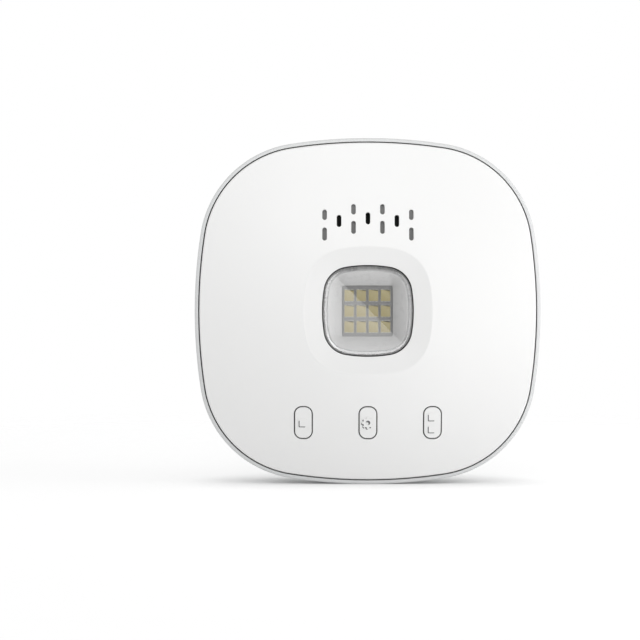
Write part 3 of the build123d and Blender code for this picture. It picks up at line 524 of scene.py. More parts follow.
lay("reflector_white", reflector_plastic())
lay("lamp_board_white", glossy("pale_solder_mask", (0.27, 0.27, 0.27), 0.4))
lay("lamp_package", glossy("lamp_package_plastic", (0.40, 0.39, 0.32), 0.4))
lay("lamp_phosphor", glossy("phosphor_silicone", (0.46, 0.39, 0.17), 0.3))

# %% [markdown]
# ## Finishes of the small things
# Four more recipes cover nearly everything inside. Bare metal is the same shader with Metallic at 1: its
# look comes from the brush or roller marks, which are long one way, so their noise is stretched. A
# circuit board is copper under coloured lacquer: where a gap was etched between two copper areas the
# lacquer lies lower and looks darker, and a Brick texture draws such a pattern of straight gaps with its
# mortar. Foam and woven mesh are their own bump. An image texture would give the same look at one size
# only, and patterns stay sharp at any.

# %% Recipes for metal, boards, foam and mesh
COPPER_GAP = 0.25 * MM
COPPER_THICK = 0.03 * MM
HOLE_PITCH = 3.4 * MM
HOLE_EDGE = ((0.05, 1), (0.09, 0))  # where a plated hole ends, as a share of the pitch
WEAVE_PITCH = 0.28 * MM


def metal(name, colour, roughness, stretch=(1, 1, 1), size=0.5 * MM):
    """Bare or plated metal. Its marks run along the axis whose stretch is smallest."""
    finish = Finish(name, colour, roughness, Metallic=1.0)
    stretched = finish.vectors("MULTIPLY", finish.place(), stretch, "Vector")
    marks = finish.noise(size, 4.0, stretched, 0.6)
    finish.shade(finish.noise(3 * MM, 3.0), 0.1)
    finish.vary_roughness(marks, 0.14)
    finish.bump(marks, 0.002 * MM)
    return finish


def circuit_board(name, colour, roughness, block_width, block_height, depth=0.25):
    """Lacquer over copper areas of about that size, with etched gaps between them and plated holes."""
    finish = Finish(name, colour, roughness, IOR=1.5, Coat_Weight=0.3, Coat_Roughness=0.15)
    where = finish.node("CombineXYZ", {}, {"X": finish.along("X"), "Y": finish.along("Z")})
    size = {"Mortar Size": COPPER_GAP, "Brick Width": block_width, "Row Height": block_height, "Scale": 1.0}
    gaps = finish.node("TexBrick", {"offset": 0.37, "squash": 0.6}, {"Vector": where, **size}, "Fac")
    grid = {"Vector": where, "Scale": 1 / HOLE_PITCH, "Randomness": 0.7}
    holes = finish.ramp(finish.node("TexVoronoi", {}, grid, "Distance"), *HOLE_EDGE)
    uneven = finish.noise(0.9 * MM, 4.0)
    finish.shade(gaps.at_least(holes) * 0.8 + uneven * 0.2, depth)
    finish.vary_roughness(uneven, 0.1)
    finish.bump((1 - gaps) + uneven * 0.15, COPPER_THICK)
    return finish


def foam(name, colour, cell=0.45 * MM):
    """Closed-cell foam: each cut cell is a small bowl, with painted shade in its hollow."""
    finish = Finish(name, colour, 0.9, Sheen_Weight=0.15)
    grid = {"Vector": finish.place(), "Scale": 1 / cell}
    bowls = finish.node("TexVoronoi", {}, grid, "Distance")
    # Painted shade, darkest at the bottom of each bowl.
    finish.shade(1 - bowls, 0.5)
    finish.bump(bowls, 0.12 * MM)
    return finish


def woven(name):
    """Plain weave: where the thread across is on top, the thread up is below, and the lower one is painted
    darker as shade.
    """
    finish = Finish(name, (0.006, 0.006, 0.006), 0.85, Sheen_Weight=0.1)
    across, up = [(finish.along(axis) * (pi / WEAVE_PITCH)).sine() for axis in "XZ"]
    height = across * up * 0.5 + 0.5
    # Painted shade where a thread lies lower.
    finish.shade(1 - height, 0.6)
    finish.bump(height, 0.06 * MM)
    return finish


# %% [markdown]
# ## Foam, screws, mesh and buzzer
# The foam gasket and ring are black and dull. The screws are zinc plated, rolled rather than brushed, so
# their marks have no direction. The grille's plate is dark grey, and the blind slots show it as their
# floor, so its grey is painted shade there. The buzzer's disc is turned brass, and the rings of the lathe
# are a sine of the distance from its centre.

# %% Foam, screws, mesh and buzzer
LATHE_FEED = 0.35 * MM


def middle_of(node):
    low_corner, high_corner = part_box(node)
    return (low_corner + high_corner) / 2


def turned_brass():
    finish = metal("turned_brass", (0.75, 0.58, 0.28), 0.3)
    out = finish.vectors("DISTANCE", finish.place(), middle_of("buzzer_disc"))
    rings = (out * (2 * pi / LATHE_FEED)).sine() * 0.5 + 0.5
    finish.vary_roughness(rings, 0.12)
    finish.bump(rings, 0.004 * MM)
    return finish


lay("foam_black", foam("black_foam", (0.035, 0.035, 0.036)))
lay("screw_steel", metal("zinc_plated_steel", (0.66, 0.67, 0.69), 0.3, size=0.3 * MM))
# The plate's dark grey is painted shade on the floors of the blind slots.
lay("backing_grey", moulded("dark_grey_plastic", (0.26, 0.26, 0.26), 0.5, 0.3 * MM, 0.006 * MM))
lay("mesh_black", woven("black_acoustic_mesh"))
lay("buzzer_black", moulded("black_buzzer_plastic", (0.03, 0.03, 0.031), 0.42, 0.3 * MM, 0.006 * MM))
lay("disc_brass", turned_brass())

# %% [markdown]
# ## Boards and what is soldered on them
# The main board has green lacquer, the radio module a black one, and both show their copper areas. Chips
# are black epoxy with the fine grain of their mould. The capacitors are drawn aluminium, so their marks
# run round the can, which is short along their height: the noise is squeezed that way. Ferrite is a baked
# powder, grey and grainy.

# %% Boards, chips and contacts
lay("board_green", circuit_board("green_solder_mask", (0.03, 0.19, 0.075), 0.32, 9 * MM, 5.5 * MM))
lay("radio_board_black", circuit_board("black_solder_mask", (0.022, 0.026, 0.032), 0.35, 4 * MM, 3 * MM, 0.5))
lay("chip_black", moulded("chip_epoxy", (0.025, 0.025, 0.027), 0.5, 0.09 * MM, 0.005 * MM, 0.15))
lay("connector_black", moulded("black_connector_plastic", (0.025,) * 3, 0.45, 0.2 * MM, 0.004 * MM, 0.1))
lay("contact_gold", metal("gold_plated_contact", (0.80, 0.62, 0.28), 0.24, (1, 0.2, 1)))
lay("shield_tin", metal("tinned_shield", (0.72, 0.72, 0.71), 0.34, (1, 1, 0.08)))
lay("can_aluminium", metal("drawn_aluminium_can", (0.80, 0.80, 0.81), 0.26, (0.15, 1, 0.15)))
lay("crystal_can", metal("nickel_can", (0.75, 0.74, 0.72), 0.24))
lay("ferrite_grey", moulded("sintered_ferrite", (0.08, 0.08, 0.085), 0.6, 0.15 * MM, 0.02 * MM, 0.25))
lay("ceramic_tan", moulded("fired_ceramic", (0.42, 0.33, 0.24), 0.45, 0.12 * MM, 0.004 * MM, 0.15))
lay("antenna_wire", metal("enamelled_copper", (0.72, 0.38, 0.20), 0.28, (1, 1, 0.1)))
finishes["antenna_wire"].set(Coat_Weight=0.8, Coat_Roughness=0.08)
lay("switch_black", moulded("switch_plastic", (0.03, 0.03, 0.031), 0.45, 0.2 * MM, 0.005 * MM, 0.1))
lay("switch_steel", metal("stamped_switch_steel", (0.68, 0.68, 0.69), 0.3, (0.1, 1, 1)))

# %% [markdown]
# ## Laying the finishes on the solids
# The record says which finish each solid has, so the slots are filled from it, one material for a node.

# %% Assign
for part in frame["record"]["subparts"]:
    piece = nodes[part["node"]]
    piece.data.materials.clear()
    piece.data.materials.append(finishes[part["material_slot"]].owner)

# %% [markdown]
# ## Four ways to make a small piece
# What follows is small, and there is a lot of it, so four helpers make it all. A sheet is cut from
# outlines: a flat curve fills them and leaves a hole wherever one lies inside another, which a single
# mesh face can't do. A turned piece is a profile spun round an axis. A strip is a bent profile pushed
# sideways, as a press makes legs and clips. A block is a box with rounded edges, because a sharp edge
# catches no light. Each is drawn in mm, flat and centred, then copied to its places, set upright, and
# rides on its body.

# %% Sheets, turned pieces, strips and blocks
FRONT = Matrix.Rotation(radians(90), 4, "X")
BACK = Matrix.Rotation(radians(180), 4, "Z") @ FRONT
ONE_POINT = 0.0005 * MM  # points nearer to each other than this become one


def centred(count, pitch):
    """That many numbers at that pitch, on both sides of 0."""
    return [(n - (count - 1) / 2) * pitch for n in range(count)]


def sheet_of(outlines, thickness):
    """A sheet round height 0, from closed outlines of (across, up) points."""
    curve = bpy.data.curves.new("outline", "CURVE")
    curve.dimensions = "2D"
    curve.fill_mode = "BOTH"
    curve.extrude = thickness * MM / 2
    for outline in outlines:
        spline = curve.splines.new("POLY")
        spline.points.add(len(outline) - 1)
        for point, (across, up) in zip(spline.points, outline):
            point.co = (across * MM, up * MM, 0, 1)
        spline.use_cyclic_u = True
    drawn = bpy.data.objects.new("outline", curve)
    shape = bmesh.new()
    shape.from_mesh(bpy.data.meshes.new_from_object(drawn))
    bmesh.ops.remove_doubles(shape, verts=shape.verts, dist=ONE_POINT)
    bpy.data.objects.remove(drawn)
    return shape


def turned(profile, steps=40):
    """A piece turned on a lathe, from (radius, height) points."""
    shape = bmesh.new()
    points = [shape.verts.new((radius * MM, 0, height * MM)) for radius, height in profile]
    edges = [shape.edges.new(pair) for pair in zip(points, points[1:])]
    bmesh.ops.spin(shape, geom=points + edges, axis=(0, 0, 1), steps=steps, angle=2 * pi, use_merge=True)
    bmesh.ops.remove_doubles(shape, verts=shape.verts, dist=ONE_POINT)
    bmesh.ops.recalc_face_normals(shape, faces=shape.faces)
    return shape


def strip_of(profile, width):
    """A bent strip that runs out along x, from closed (out, height) points, that wide along y."""
    shape = bmesh.new()
    corners = [(out * MM, -width * MM / 2, height * MM) for out, height in profile]
    face = shape.faces.new([shape.verts.new(corner) for corner in corners])
    pushed = bmesh.ops.extrude_face_region(shape, geom=[face])["geom"]
    moved = [part for part in pushed if isinstance(part, bmesh.types.BMVert)]
    bmesh.ops.translate(shape, verts=moved, vec=(0, width * MM, 0))
    bmesh.ops.recalc_face_normals(shape, faces=shape.faces)
    return shape


def block_of(width, height, thickness, rounded):
    """A box that stands on height 0, with rounded edges."""
    shape = bmesh.new()
    bmesh.ops.create_cube(shape, size=1)
    raised = Matrix.Translation((0, 0, thickness * MM / 2))
    sized = raised @ Matrix.Diagonal((width * MM, height * MM, thickness * MM, 1))
    bmesh.ops.transform(shape, matrix=sized, verts=shape.verts)
    bmesh.ops.bevel(shape, geom=shape.edges, offset=rounded * MM, segments=2, affect="EDGES", profile=0.5)
    return shape


def arc(radius, start, end, steps, centre=(0, 0)):
    """Points on an arc, as (across, up), from one angle to the other in that many steps."""
    angles = [start + (end - start) * step / steps for step in range(steps + 1)]
    return [(centre[0] + radius * cos(angle), centre[1] + radius * sin(angle)) for angle in angles]


def rounded_outline(width, height, corner, centre=(0, 0), steps=6):
    """An oblong with round corners."""
    outline = []
    for turn, (side, rise) in enumerate([(1, 1), (-1, 1), (-1, -1), (1, -1)]):
        middle = (centre[0] + side * (width / 2 - corner), centre[1] + rise * (height / 2 - corner))
        outline += arc(corner, pi / 2 * turn, pi / 2 * (turn + 1), steps, middle)
    return outline


def round_outline(radius, steps=36):
    return arc(radius, 0, 2 * pi, steps)[:-1]


def spun(points, count):
    """Copies of the points, turned round the middle in equal steps: one list for each."""
    turns = [Matrix.Rotation(2 * pi * n / count, 2) for n in range(count)]
    return [[tuple(turn @ Vector(point)) for point in points] for turn in turns]


def upright(across, y, up, facing=FRONT):
    """Sets a flat piece upright at that point of the frame, facing the front or the back."""
    return Matrix.Translation((across * MM, y * MM, up * MM)) @ facing


def set_pieces(name, shape, places, finish, body="panel"):
    """Copies a small shape to its places, each a matrix, as one piece on the body."""
    copies = bmesh.new()
    flat = bpy.data.meshes.new(f"{name}_one")
    shape.to_mesh(flat)
    for place in places:
        copy = flat.copy()
        copy.transform(place)
        copies.from_mesh(copy)
        bpy.data.meshes.remove(copy)
    mesh = bpy.data.meshes.new(name)
    copies.to_mesh(mesh)
    mesh.materials.append(finishes[finish].owner)
    mesh.shade_smooth()
    mesh.set_sharp_from_angle(angle=radians(35))
    piece = bpy.data.objects.new(name, mesh)
    scene.collection.objects.link(piece)
    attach(piece, body)
    print(f"{name}: {len(places)} on {body}, {len(mesh.polygons)} faces")
    return piece


# %% [markdown]
# ## The marks on the buttons
# Each mark is a raised square or gear, part of the cap itself and as white as it, so from straight ahead
# it would hardly show. A painted shadow lies under it, a grey sheet to the left and lower, where a light
# from the upper right would cast it. It is a second and slightly smaller copy of the outline, thinner
# than paper, and the gear's hole is smaller still, so that it reads as a dark dot. The caps are crowned,
# so rays are sent at the cap just outside the mark, and the painted shadow is laid on the plane through
# the four points that they hit.

# %% Painted shadows under the marks
MARK_SHADOW_SHIFTS = {"left": 0.57, "settings": 0.45, "right": 0.57}  # to the left, and as much down
MARK_SHADOW_THICK = 0.08
MARK_SHADOW_PROUD = 0.03
MARK_SQUARE = (2.8, 0.35)  # side and corner
MARK_SQUARE_PITCH = 5.07
GEAR_TIP = 2.4
GEAR_ROOT = 2.0
GEAR_HOLE = 0.7
GEAR_TOOTH = 0.9
GEAR_TEETH = 8
CAP_REACH = (2.8, 4.6)  # from the middle to where the rays meet the cap, outside the mark


def gear_outline():
    """Round the gear, tooth by tooth: up one flank, over the tip, down the other, and along the root."""
    half = GEAR_TOOTH / 2
    lean = half / GEAR_ROOT
    foot = sqrt(GEAR_ROOT**2 - half**2)
    root = arc(GEAR_ROOT, lean, 2 * pi / GEAR_TEETH - lean, 4)[1:-1]
    tooth = [(foot, -half), (GEAR_TIP, -half), (GEAR_TIP, half), (foot, half), *root]
    return sum(spun(tooth, GEAR_TEETH), [])


def square_outlines(count):
    side, corner = MARK_SQUARE
    return [rounded_outline(side, side, corner, (0, up)) for up in centred(count, MARK_SQUARE_PITCH)]


def cap_face(name):
    """The matrix that lays a flat piece on the middle of a cap's crowned face, and where that faces."""
    cap = nodes[f"{name}_button_cap"]
    middle = middle_of(cap.name)
    shape = bmesh.new()
    shape.from_mesh(cap.data)
    tree = BVHTree.FromBMesh(shape)
    hits = []
    for across, up in ((-1, -1), (1, -1), (1, 1), (-1, 1)):
        start = middle + Vector((across * CAP_REACH[0], -100, up * CAP_REACH[1])) * MM
        hits.append(tree.ray_cast(start, (0, 1, 0))[0])
    facing = (hits[2] - hits[0]).cross(hits[3] - hits[1]).normalized()
    facing = facing if facing.y < 0 else -facing
    tilt = Vector((0, -1, 0)).rotation_difference(facing).to_matrix().to_4x4()
    return Matrix.Translation(sum(hits, Vector()) / 4) @ tilt @ FRONT, facing


def paint_mark_shadows():
    marks = {
        "left": square_outlines(1),
        "settings": [gear_outline(), round_outline(GEAR_HOLE)],
        "right": square_outlines(2),
    }
    for name, outlines in marks.items():
        turn, facing = cap_face(name)
        aside = MARK_SHADOW_SHIFTS[name]
        shift = Vector((-aside, 0, -aside)) + facing * (MARK_SHADOW_PROUD - MARK_SHADOW_THICK / 2)
        # The painted shadow is a grey copy of the mark, shifted left and down.
        thin_sheet = sheet_of(outlines, MARK_SHADOW_THICK)
        places = [Matrix.Translation(shift * MM) @ turn]
        set_pieces(f"{name}_button_painted_shadow", thin_sheet, places, "ink_and_shadow_grey", f"{name}_button")


# One grey for real print and for the painted shadows under the button marks.
lay("ink_and_shadow_grey", moulded("grey_printing_ink", (0.17, 0.17, 0.175), 0.45, 0.1 * MM, 0.002 * MM))
paint_mark_shadows()

# %% [markdown]
# ## Black seals that shade the gaps round the caps
# A cap needs half a millimetre of play in its opening, and through a gap that wide one would see into the
# casing. A black silicone seal stands on the cap's flange and fills the lower half of the gap, and its
# black is painted shade there: left out, the gap would be lit by its own white walls and look pale. It is
# a sheet with a hole, cut to the cap's outline.

# %% Seals that shade the cap gaps
CAP_SIZE = (7.0, 13.0, 2.9)  # width, height and corner of a cap at its face
SEAL_WIDTH = 0.4
SEAL_THICK = 1.45
SEAL_DEPTH = 2.03  # from the cap's face to the middle of the seal
SEAL_GRIP = 0.05  # how far it reaches into the cap's side


def seal_and_shade_cap_gaps():
    width, height, corner = CAP_SIZE
    wide = rounded_outline(width + 2 * SEAL_WIDTH, height + 2 * SEAL_WIDTH, corner + SEAL_WIDTH)
    hole = rounded_outline(width - 2 * SEAL_GRIP, height - 2 * SEAL_GRIP, corner - SEAL_GRIP)
    for name in MARK_SHADOW_SHIFTS:
        turn, facing = cap_face(name)
        places = [Matrix.Translation(-facing * SEAL_DEPTH * MM) @ turn]
        # The black seal is painted shade in the gap round the cap.
        seal = sheet_of([wide, hole], SEAL_THICK)
        set_pieces(f"{name}_button_shade_seal", seal, places, "shading_black_silicone", f"{name}_button")


lay("shading_black_silicone", moulded("black_silicone", (0.022, 0.022, 0.023), 0.6, 0.2 * MM, 0.003 * MM, 0.1))
seal_and_shade_cap_gaps()

# %% [markdown]
# ## The seal that shades the gap round the window
# The window comes up through the bottom of the dish, with a gap of 0.4 mm all round that rain and insects
# mustn't pass. A black lip stands in it on the window's flange, and its black is painted shade in the
# gap: it draws the thin dark line round the window. The window is a square with bowed sides. Its outline
# is eight arcs, four long and four short, each tangent to the next, so three numbers give it: half its
# width, and the radius of either arc.

# %% Window seal that shades its gap
WINDOW_HALF = 18.9
WINDOW_SIDE_ARC = 57.8
WINDOW_CORNER_ARC = 10.7
ARC_STEPS = 14
LIP_OUT = 0.39  # from the window's side to the lip's outer face
LIP_GRIP = 0.02
LIP_HEIGHT = 1.0


def bowed_outline(grow):
    """The window's outline, grown by that much, as (across, up) points."""
    side_arc = WINDOW_SIDE_ARC + grow
    corner_arc = WINDOW_CORNER_ARC + grow
    far = WINDOW_SIDE_ARC - WINDOW_HALF
    corner = (sqrt(2 * (side_arc - corner_arc) ** 2 - far**2) - far) / 2
    swing = atan2(corner, corner + far)
    side = arc(side_arc, -swing, swing, ARC_STEPS, (-far, 0))
    rounded = arc(corner_arc, swing, pi / 2 - swing, ARC_STEPS, (corner, corner))
    return sum(spun(side[:-1] + rounded[:-1], 4), [])


flange_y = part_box("window_gasket")[1].y / MM
# The black lip is painted shade in the gap round the window.
lip = sheet_of([bowed_outline(LIP_OUT), bowed_outline(-LIP_GRIP)], LIP_HEIGHT)
set_pieces("window_shade_seal", lip, [upright(0, flange_y - LIP_HEIGHT / 2, 0)], "shading_black_silicone")

# %% [markdown]
# ## The lamps behind the window
# Each LED is a white package with a shallow cup, filled nearly to its rim with yellow silicone. One
# corner of the rim is cut to mark the cathode, and three tinned terminals on either side are soldered to
# the board. The solids give each LED as a plain block and a plain fill, and these replace them: a body, a
# rim that is a sheet with a hole, a rounded fill, and the terminals.

# %% LEDs
LED_COLUMNS = 4
LED_ROWS = 3
LED_PITCH = (5.16, 6.66)
LED_BODY = (4.24, 5.08, 0.64)  # width, height and thickness without the rim
LED_CUP = (3.92, 4.76, 0.35)  # width, height and corner
LED_CUT = 0.7  # the corner that marks the cathode
LED_RIM = 0.16
LED_FILL = 0.12
LED_ROUNDED = (0.06, 0.05)  # the edges of the body and of the fill
LAYER_SINK = 0.01  # how far a layer reaches into its neighbours
TERMINAL = (0.8, 0.26, 0.3, 0.05)  # width, height, thickness and rounded edge
TERMINAL_PITCH = 1.3


def rim_outline(half_x, half_y, cut):
    low_corners = [(-half_x, -half_y), (half_x, -half_y)]
    return [*low_corners, (half_x, half_y - cut), (half_x - cut, half_y), (-half_x, half_y)]


def leds():
    board_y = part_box("led_board")[0].y / MM
    width, height, thick = LED_BODY
    columns = centred(LED_COLUMNS, LED_PITCH[0])
    middles = [(across, up) for across in columns for up in centred(LED_ROWS, LED_PITCH[1])]

    def over(rise):
        return [upright(across, board_y - rise, up) for across, up in middles]

    body = set_pieces("led_bodies", block_of(width, height, thick, LED_ROUNDED[0]), over(0), "lamp_package")
    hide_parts("led_packages")
    rim = sheet_of([rim_outline(width / 2, height / 2, LED_CUT), rounded_outline(*LED_CUP)], LED_RIM)
    set_pieces("led_rims", rim, over(thick + LED_RIM / 2 - LAYER_SINK), "lamp_package")
    width, height = [size + 2 * LAYER_SINK for size in LED_CUP[:2]]
    fill = block_of(width, height, LED_FILL, LED_ROUNDED[1])
    fill = set_pieces("led_fills", fill, over(thick - LAYER_SINK), "lamp_phosphor")
    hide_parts("led_phosphors")
    terminals = []
    for across, up in middles:
        for edge in (up - LED_BODY[1] / 2, up + LED_BODY[1] / 2):
            terminals += [upright(across + side, board_y, edge) for side in centred(3, TERMINAL_PITCH)]
    set_pieces("led_terminals", block_of(*TERMINAL), terminals, "shield_tin")


leds()

# %% [markdown]
# ## The back of the casing
# The back hangs 0.8 mm off the wall, so whatever stands on it is thinner than that. Four felt pads keep
# the panel from rattling. The recess below holds a rating plate, left blank here but for its ruled frame
# and lines. The rest is what a mould leaves: the round ends of its ejector pins, a date wheel with its
# twelve ticks and its arrow, and an arrow that says which way the panel lifts off. They are raised by a
# tenth of a millimetre or two.

# %% Pads, rating plate and mould marks
BACK_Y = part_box("rear_housing")[1].y / MM
PAD_PLACES = [(53.0, 24.0), (-53.0, 24.0), (53.0, -24.0), (-53.0, -24.0)]  # across and up
PAD = (4.5, 0.65, 0.15)  # radius, thickness and edge
PLATE = (33.2, 10.2, 1.0)  # width, height and corner
PLATE_PLACE = [(0, -49.0)]
PLATE_THICK = 0.2
PLATE_RECESS = 0.3
PLATE_SINK = 0.02
PLATE_FRAME = (31.6, 8.6, 0.5)
RULE = 0.22  # width of the lines on it
RULES_UP = (2.0, 0.0, -2.0)
RULE_LENGTH = 28.2
INK = 0.04
INK_SINK = 0.01
EJECTOR_PLACES = [(side * across, up) for across, up in ((26, 58), (14, 33), (25, -42)) for side in (1, -1)]
EJECTOR_PLACES += [(-44, -2), (50, 2), (0, -62)]
DATE_WHEEL = [(-44.0, -20.0)]
LIFT_ARROW = [(0, 32.0)]


def on_back(places, height=0.0):
    """Where flat pieces stand on the back of the casing."""
    return [upright(across, BACK_Y + height, up, BACK) for across, up in places]


def felt_pads():
    radius, thick, edge = PAD
    profile = [(0, -edge), (radius, -edge), (radius, thick - edge), (radius - edge, thick), (0, thick)]
    set_pieces("wall_pads", turned(profile), on_back(PAD_PLACES), "felt_grey")


def rating_plate():
    plate = sheet_of([rounded_outline(*PLATE)], PLATE_THICK)
    height = PLATE_THICK / 2 - PLATE_SINK - PLATE_RECESS
    set_pieces("rating_plate", plate, on_back(PLATE_PLACE, height), "plate_silver")
    width, height, corner = PLATE_FRAME
    inside = rounded_outline(width - 2 * RULE, height - 2 * RULE, corner - 0.1)
    rules = [rounded_outline(RULE_LENGTH, RULE, RULE / 2.1, (0, up)) for up in RULES_UP]
    thin_sheet = sheet_of([rounded_outline(*PLATE_FRAME), inside, *rules], INK)
    height = PLATE_THICK - INK_SINK - PLATE_RECESS
    set_pieces("rating_plate_lines", thin_sheet, on_back(PLATE_PLACE, height), "ink_and_shadow_grey")


def mould_marks():
    ring = [(0, -0.1), (1.9, -0.1), (1.9, 0.05), (1.75, 0.08), (1.5, 0.08), (1.4, 0.03), (0, 0.03)]
    set_pieces("ejector_marks", turned(ring), on_back(EJECTOR_PLACES), "housing_grey")
    ticks = spun(rounded_outline(0.7, 0.2, 0.08, (2.8, 0), 2), 12)
    arrow = [(-0.15, -1.6), (0.15, -1.6), (0.15, 0.8), (0.6, 0.8), (0, 1.8), (-0.6, 0.8), (-0.15, 0.8)]
    wheel = sheet_of([round_outline(3.6), round_outline(3.35), *ticks, arrow], 0.3)
    set_pieces("date_wheel", wheel, on_back(DATE_WHEEL), "housing_grey")
    lift = [(-1.2, -4), (1.2, -4), (1.2, 0.5), (2.8, 0.5), (0, 3.5), (-2.8, 0.5), (-1.2, 0.5)]
    set_pieces("lift_arrow", sheet_of([lift], 0.5), on_back(LIFT_ARROW), "ink_and_shadow_grey")


lay("felt_grey", foam("grey_felt", (0.22, 0.22, 0.225), 0.3 * MM))
lay("plate_silver", metal("satin_silver_film", (0.74, 0.75, 0.76), 0.38, (0.1, 1, 1), 0.4 * MM))
felt_pads()
rating_plate()
mould_marks()

# %% [markdown]
# ## Legs, pads and joints on the main board
# A chip is a black block until it has legs. A gull wing leaves the body at half its height, steps down
# and lies flat on its pad. One bent strip makes it, copied round the chip at its pitch. The flat chip
# beside the antenna has plated edges instead. Small parts get tinned ends, and each pin that goes through
# the board gets a cone of solder where it comes out. Its profile is hollow, because molten solder climbs
# the pin.

# %% Legs and solder
BOARD_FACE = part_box("main_board")[0].y / MM
BOARD_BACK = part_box("main_board")[1].y / MM
MAIN_CHIP = (-26.0, -24.0, 10.0, 1.4)  # across, up, side and thickness
MAIN_LEGS = (12, 0.8)  # on each side, and their pitch
SMALL_CHIPS = [(26.0, -2.0, 5.0), (-2.0, 12.0, 3.9)]  # across, up and width
SMALL_LEGS = (4, 1.27)
FLAT_CHIP = (22.0, -22.0, 7.0)  # across, up and side
FLAT_PADS = (10, 0.6)
FLAT_PAD = (0.5, 0.3, 0.2, 0.04)  # width, height, thickness and rounded edge, as for the ends below
FLAT_PAD_OUT = 0.15
CHIP_COLUMNS = [(-36.0, -17.0), (-10.0, -14.0), (14.0, -23.0), (16.0, 4.0), (-12.0, 16.0), (-12.0, 2.0)]
CHIP_ROW_PITCH = 3.4
CHIP_ROWS = 4
CHIP_HALF = 0.85
CHIP_END = (1.33, 0.42, 0.6, 0.05)
HEADER_HOLES = [(across, -19.0) for across in centred(3, 2.54)]
BACK_HOLES = [*HEADER_HOLES, (-7.6, 39.0), (7.6, 39.0), (33.0, 22.0)]
FRONT_HOLES = [(38.0, 3.0), (35.2, 8.0), (40.8, 8.0)]


def on_board(across, up, turn=0, height=0.0):
    """Where a piece drawn flat stands on the board's face, turned by that many degrees."""
    turned_by = Matrix.Rotation(radians(turn), 4, "Z")
    return upright(across, BOARD_FACE - height, up) @ turned_by


def beside(across, up, half, row, turns=(0, 90, 180, 270)):
    """Places in a row along some sides of a part, that far from its middle."""
    places = []
    for turn in turns:
        sideways = Matrix.Rotation(radians(turn), 2)
        feet = [sideways @ Vector((half, along)) for along in centred(*row)]
        places += [on_board(across + foot.x, up + foot.y, turn) for foot in feet]
    return places


def gull_wing(height, width):
    step = height / 2
    bottom = [(1.0, 0.14), (1.0, 0), (0.48, 0), (0.28, step - 0.14), (-0.1, step - 0.14)]
    return strip_of([(-0.1, step), (0.35, step), (0.55, 0.14), *bottom], width)


def chip_legs():
    across, up, side, thick = MAIN_CHIP
    legs = beside(across, up, side / 2, MAIN_LEGS)
    set_pieces("main_chip_legs", gull_wing(thick, 0.3), legs, "shield_tin")
    legs = []
    for across, up, width in SMALL_CHIPS:
        legs += beside(across, up, width / 2, SMALL_LEGS, (0, 180))
    set_pieces("small_chip_legs", gull_wing(1.5, 0.42), legs, "shield_tin")
    across, up, side = FLAT_CHIP
    pads = beside(across, up, side / 2 + FLAT_PAD_OUT, FLAT_PADS)
    set_pieces("flat_chip_pads", block_of(*FLAT_PAD), pads, "shield_tin")


def chip_ends():
    places = []
    for across, up in CHIP_COLUMNS:
        for row in range(CHIP_ROWS):
            middle = up - row * CHIP_ROW_PITCH
            places += [on_board(across, middle + side * CHIP_HALF) for side in (-1, 1)]
    set_pieces("chip_part_ends", block_of(*CHIP_END), places, "shield_tin")


def solder_joints():
    foot = [(0, -0.05), (1.0, -0.05), (1.0, 0.04), (0.75, 0.12)]
    joint = turned([*foot, (0.55, 0.35), (0.45, 0.8), (0.35, 0.95), (0, 1.0)], 24)
    back = [upright(across, BOARD_BACK, up, BACK) for across, up in BACK_HOLES]
    set_pieces("board_solder_back", joint, back, "solder_tin")
    set_pieces("board_solder_front", joint, [on_board(*hole) for hole in FRONT_HOLES], "solder_tin")


lay("solder_tin", metal("solder", (0.70, 0.70, 0.70), 0.22, size=0.8 * MM))
chip_legs()
chip_ends()
solder_joints()

# %% [markdown]
# ## Capacitors, coil, crystal and shield
# A can for soldering on a board stands in a black base with two cut corners, has a groove rolled in near
# its foot, and a dark half moon on top that marks one lead. The solid is a plain can, so it is replaced
# by one turned from the real profile, a little slimmer at the groove. The coil gets its plated clips, the
# crystal its welded lid, and the shield the low fence that it snaps on, with the row of plated half holes
# beside it.

# %% Cans, clips and fences
CANS = [(34, -30, 4.0, 9.5), (24, 9, 3.15, 7.0), (-36, 29, 3.15, 7.0)]  # across, up, radius and height
CAN_BASE = 1.1
CAN_CUT = 0.45  # the cut corners of the base, as a share of the radius
COIL_PLACE = (34.0, -17.0, 8.0)  # across, up and side
COIL_TOP = 4.2
CRYSTAL_PLACE = (-15.0, -26.0)
CRYSTAL_TOP = 1.03
SHIELD = (-27.0, 4.8, 15.4, 17.0)  # across, up, width and height
SHIELD_TOP = 3.2
RADIO_THICK = 0.8
FENCE_HEIGHT = 1.3
RADIO_EDGE = (-27.0, -2.0, 18.0)  # across, the lowest pad's place and the width
RADIO_PADS = (12, 1.5)
RADIO_PAD = (0.9, 0.8, 0.85, 0.08)


def capacitors():
    for number, (across, up, radius, height) in enumerate(CANS, 1):
        foot = [(0, 0.2), (radius - 0.2, 0.2), (radius, 0.5), (radius, 1.5)]
        groove = [(radius - 0.3, 1.75), (radius, 2.0)]
        top = [(radius, height - 0.5), (radius - 0.15, height - 0.15), (radius - 0.5, height), (0, height)]
        can = turned(foot + groove + top)
        piece = set_pieces(f"capacitor_{number}_can", can, [on_board(across, up)], "can_aluminium")
        if number == 1:
            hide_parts("board_capacitors")
        short = radius * (1 - CAN_CUT)
        low_corners = [(-radius, -radius), (radius, -radius)]
        base = [*low_corners, (radius, short), (short, radius), (-short, radius), (-radius, short)]
        base = sheet_of([base], CAN_BASE)
        place = on_board(across, up, height=CAN_BASE / 2)
        set_pieces(f"capacitor_{number}_base", base, [place], "connector_black")
        moon = sheet_of([arc(radius - 0.55, radians(60), radians(120), 10)], INK)
        place = on_board(across, up, height=height)
        set_pieces(f"capacitor_{number}_moon", moon, [place], "ink_and_shadow_grey")


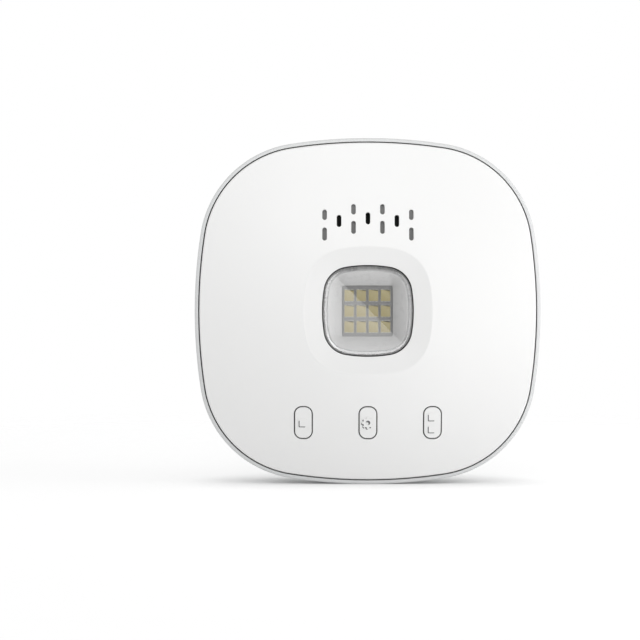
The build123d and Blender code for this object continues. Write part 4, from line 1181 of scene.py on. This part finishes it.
def coil_and_crystal():
    across, up, side = COIL_PLACE
    inside = [(-0.6, 0.3), (-0.6, 0.12), (0.06, 0.12), (0.06, 2.6)]
    clip = strip_of([*inside, (0.2, 2.75), (0.2, 0.0), (-0.75, 0.0), (-0.75, 0.3)], 2.6)
    set_pieces("coil_clips", clip, beside(across, up, side / 2, (1, 0), (0, 180)), "shield_tin")
    disc = turned([(0, -0.05), (2.9, -0.05), (2.9, 0.12), (2.6, 0.2), (0, 0.2)])
    set_pieces("coil_core", disc, [on_board(across, up, height=COIL_TOP)], "ferrite_grey")
    lid = sheet_of([rounded_outline(2.8, 4.6, 0.5)], 0.12)
    set_pieces("crystal_lid", lid, [on_board(*CRYSTAL_PLACE, height=CRYSTAL_TOP)], "crystal_can")


def radio_fence():
    across, up, width, height = SHIELD
    wide = rounded_outline(width + 0.5, height + 0.5, 0.8)
    inside = rounded_outline(width - 0.1, height - 0.1, 0.55)
    fence = sheet_of([wide, inside], FENCE_HEIGHT)
    place = on_board(across, up, height=RADIO_THICK + FENCE_HEIGHT / 2)
    set_pieces("radio_shield_fence", fence, [place], "shield_tin")
    dimple = turned([(0, -0.1), (0.9, -0.1), (0.9, 0.05), (0.7, 0.16), (0, 0.16)], 24)
    dimples = [on_board(across + x, up + y, height=SHIELD_TOP) for x in (-5, 0, 5) for y in (-6, 0, 6)]
    set_pieces("radio_shield_dimples", dimple, dimples, "shield_tin")
    across, lowest, width = RADIO_EDGE
    count, pitch = RADIO_PADS
    pad = block_of(*RADIO_PAD)
    sides = (across - width / 2, across + width / 2)
    places = [on_board(side, lowest + n * pitch) for side in sides for n in range(count)]
    set_pieces("radio_board_pads", pad, places, "contact_gold")


capacitors()
coil_and_crystal()
radio_fence()

# %% [markdown]
# ## The switches
# A tactile switch is a black base under a steel cover that four plastic rivets hold, melted flat over its
# corners, and it stands on four bent legs. The rivets are turned buttons and the legs short strips.

# %% Switch rivets and legs
SWITCH_XS = (-27.1, 0.0, 27.1)
SWITCH_UP = -46.9
SWITCH_HALF = 3.0
SWITCH_TOP = 3.25
RIVET_PLACES = [(across, up) for across in centred(2, 4.6) for up in centred(2, 4.6)]
SWITCH_LEGS = (2, 4.5)


def switch_details():
    rivet = turned([(0, -0.1), (0.5, -0.1), (0.5, 0.1), (0.35, 0.25), (0, 0.28)], 20)
    leg = [(-0.2, 0.9), (0.35, 0.9), (0.7, 0.15), (1.2, 0.15), (1.2, 0), (0.6, 0), (0.25, 0.75), (-0.2, 0.75)]
    rivets = []
    legs = []
    for middle in SWITCH_XS:
        rivets += [on_board(middle + x, SWITCH_UP + y, height=SWITCH_TOP) for x, y in RIVET_PLACES]
        legs += beside(middle, SWITCH_UP, SWITCH_HALF, SWITCH_LEGS, (0, 180))
    set_pieces("switch_rivets", rivet, rivets, "switch_black")
    set_pieces("switch_legs", strip_of(leg, 0.7), legs, "shield_tin")


switch_details()

# %% [markdown]
# ## Last settings
# Standard shows colours as they are written.

# %% View
scene.view_settings.view_transform = "Standard"
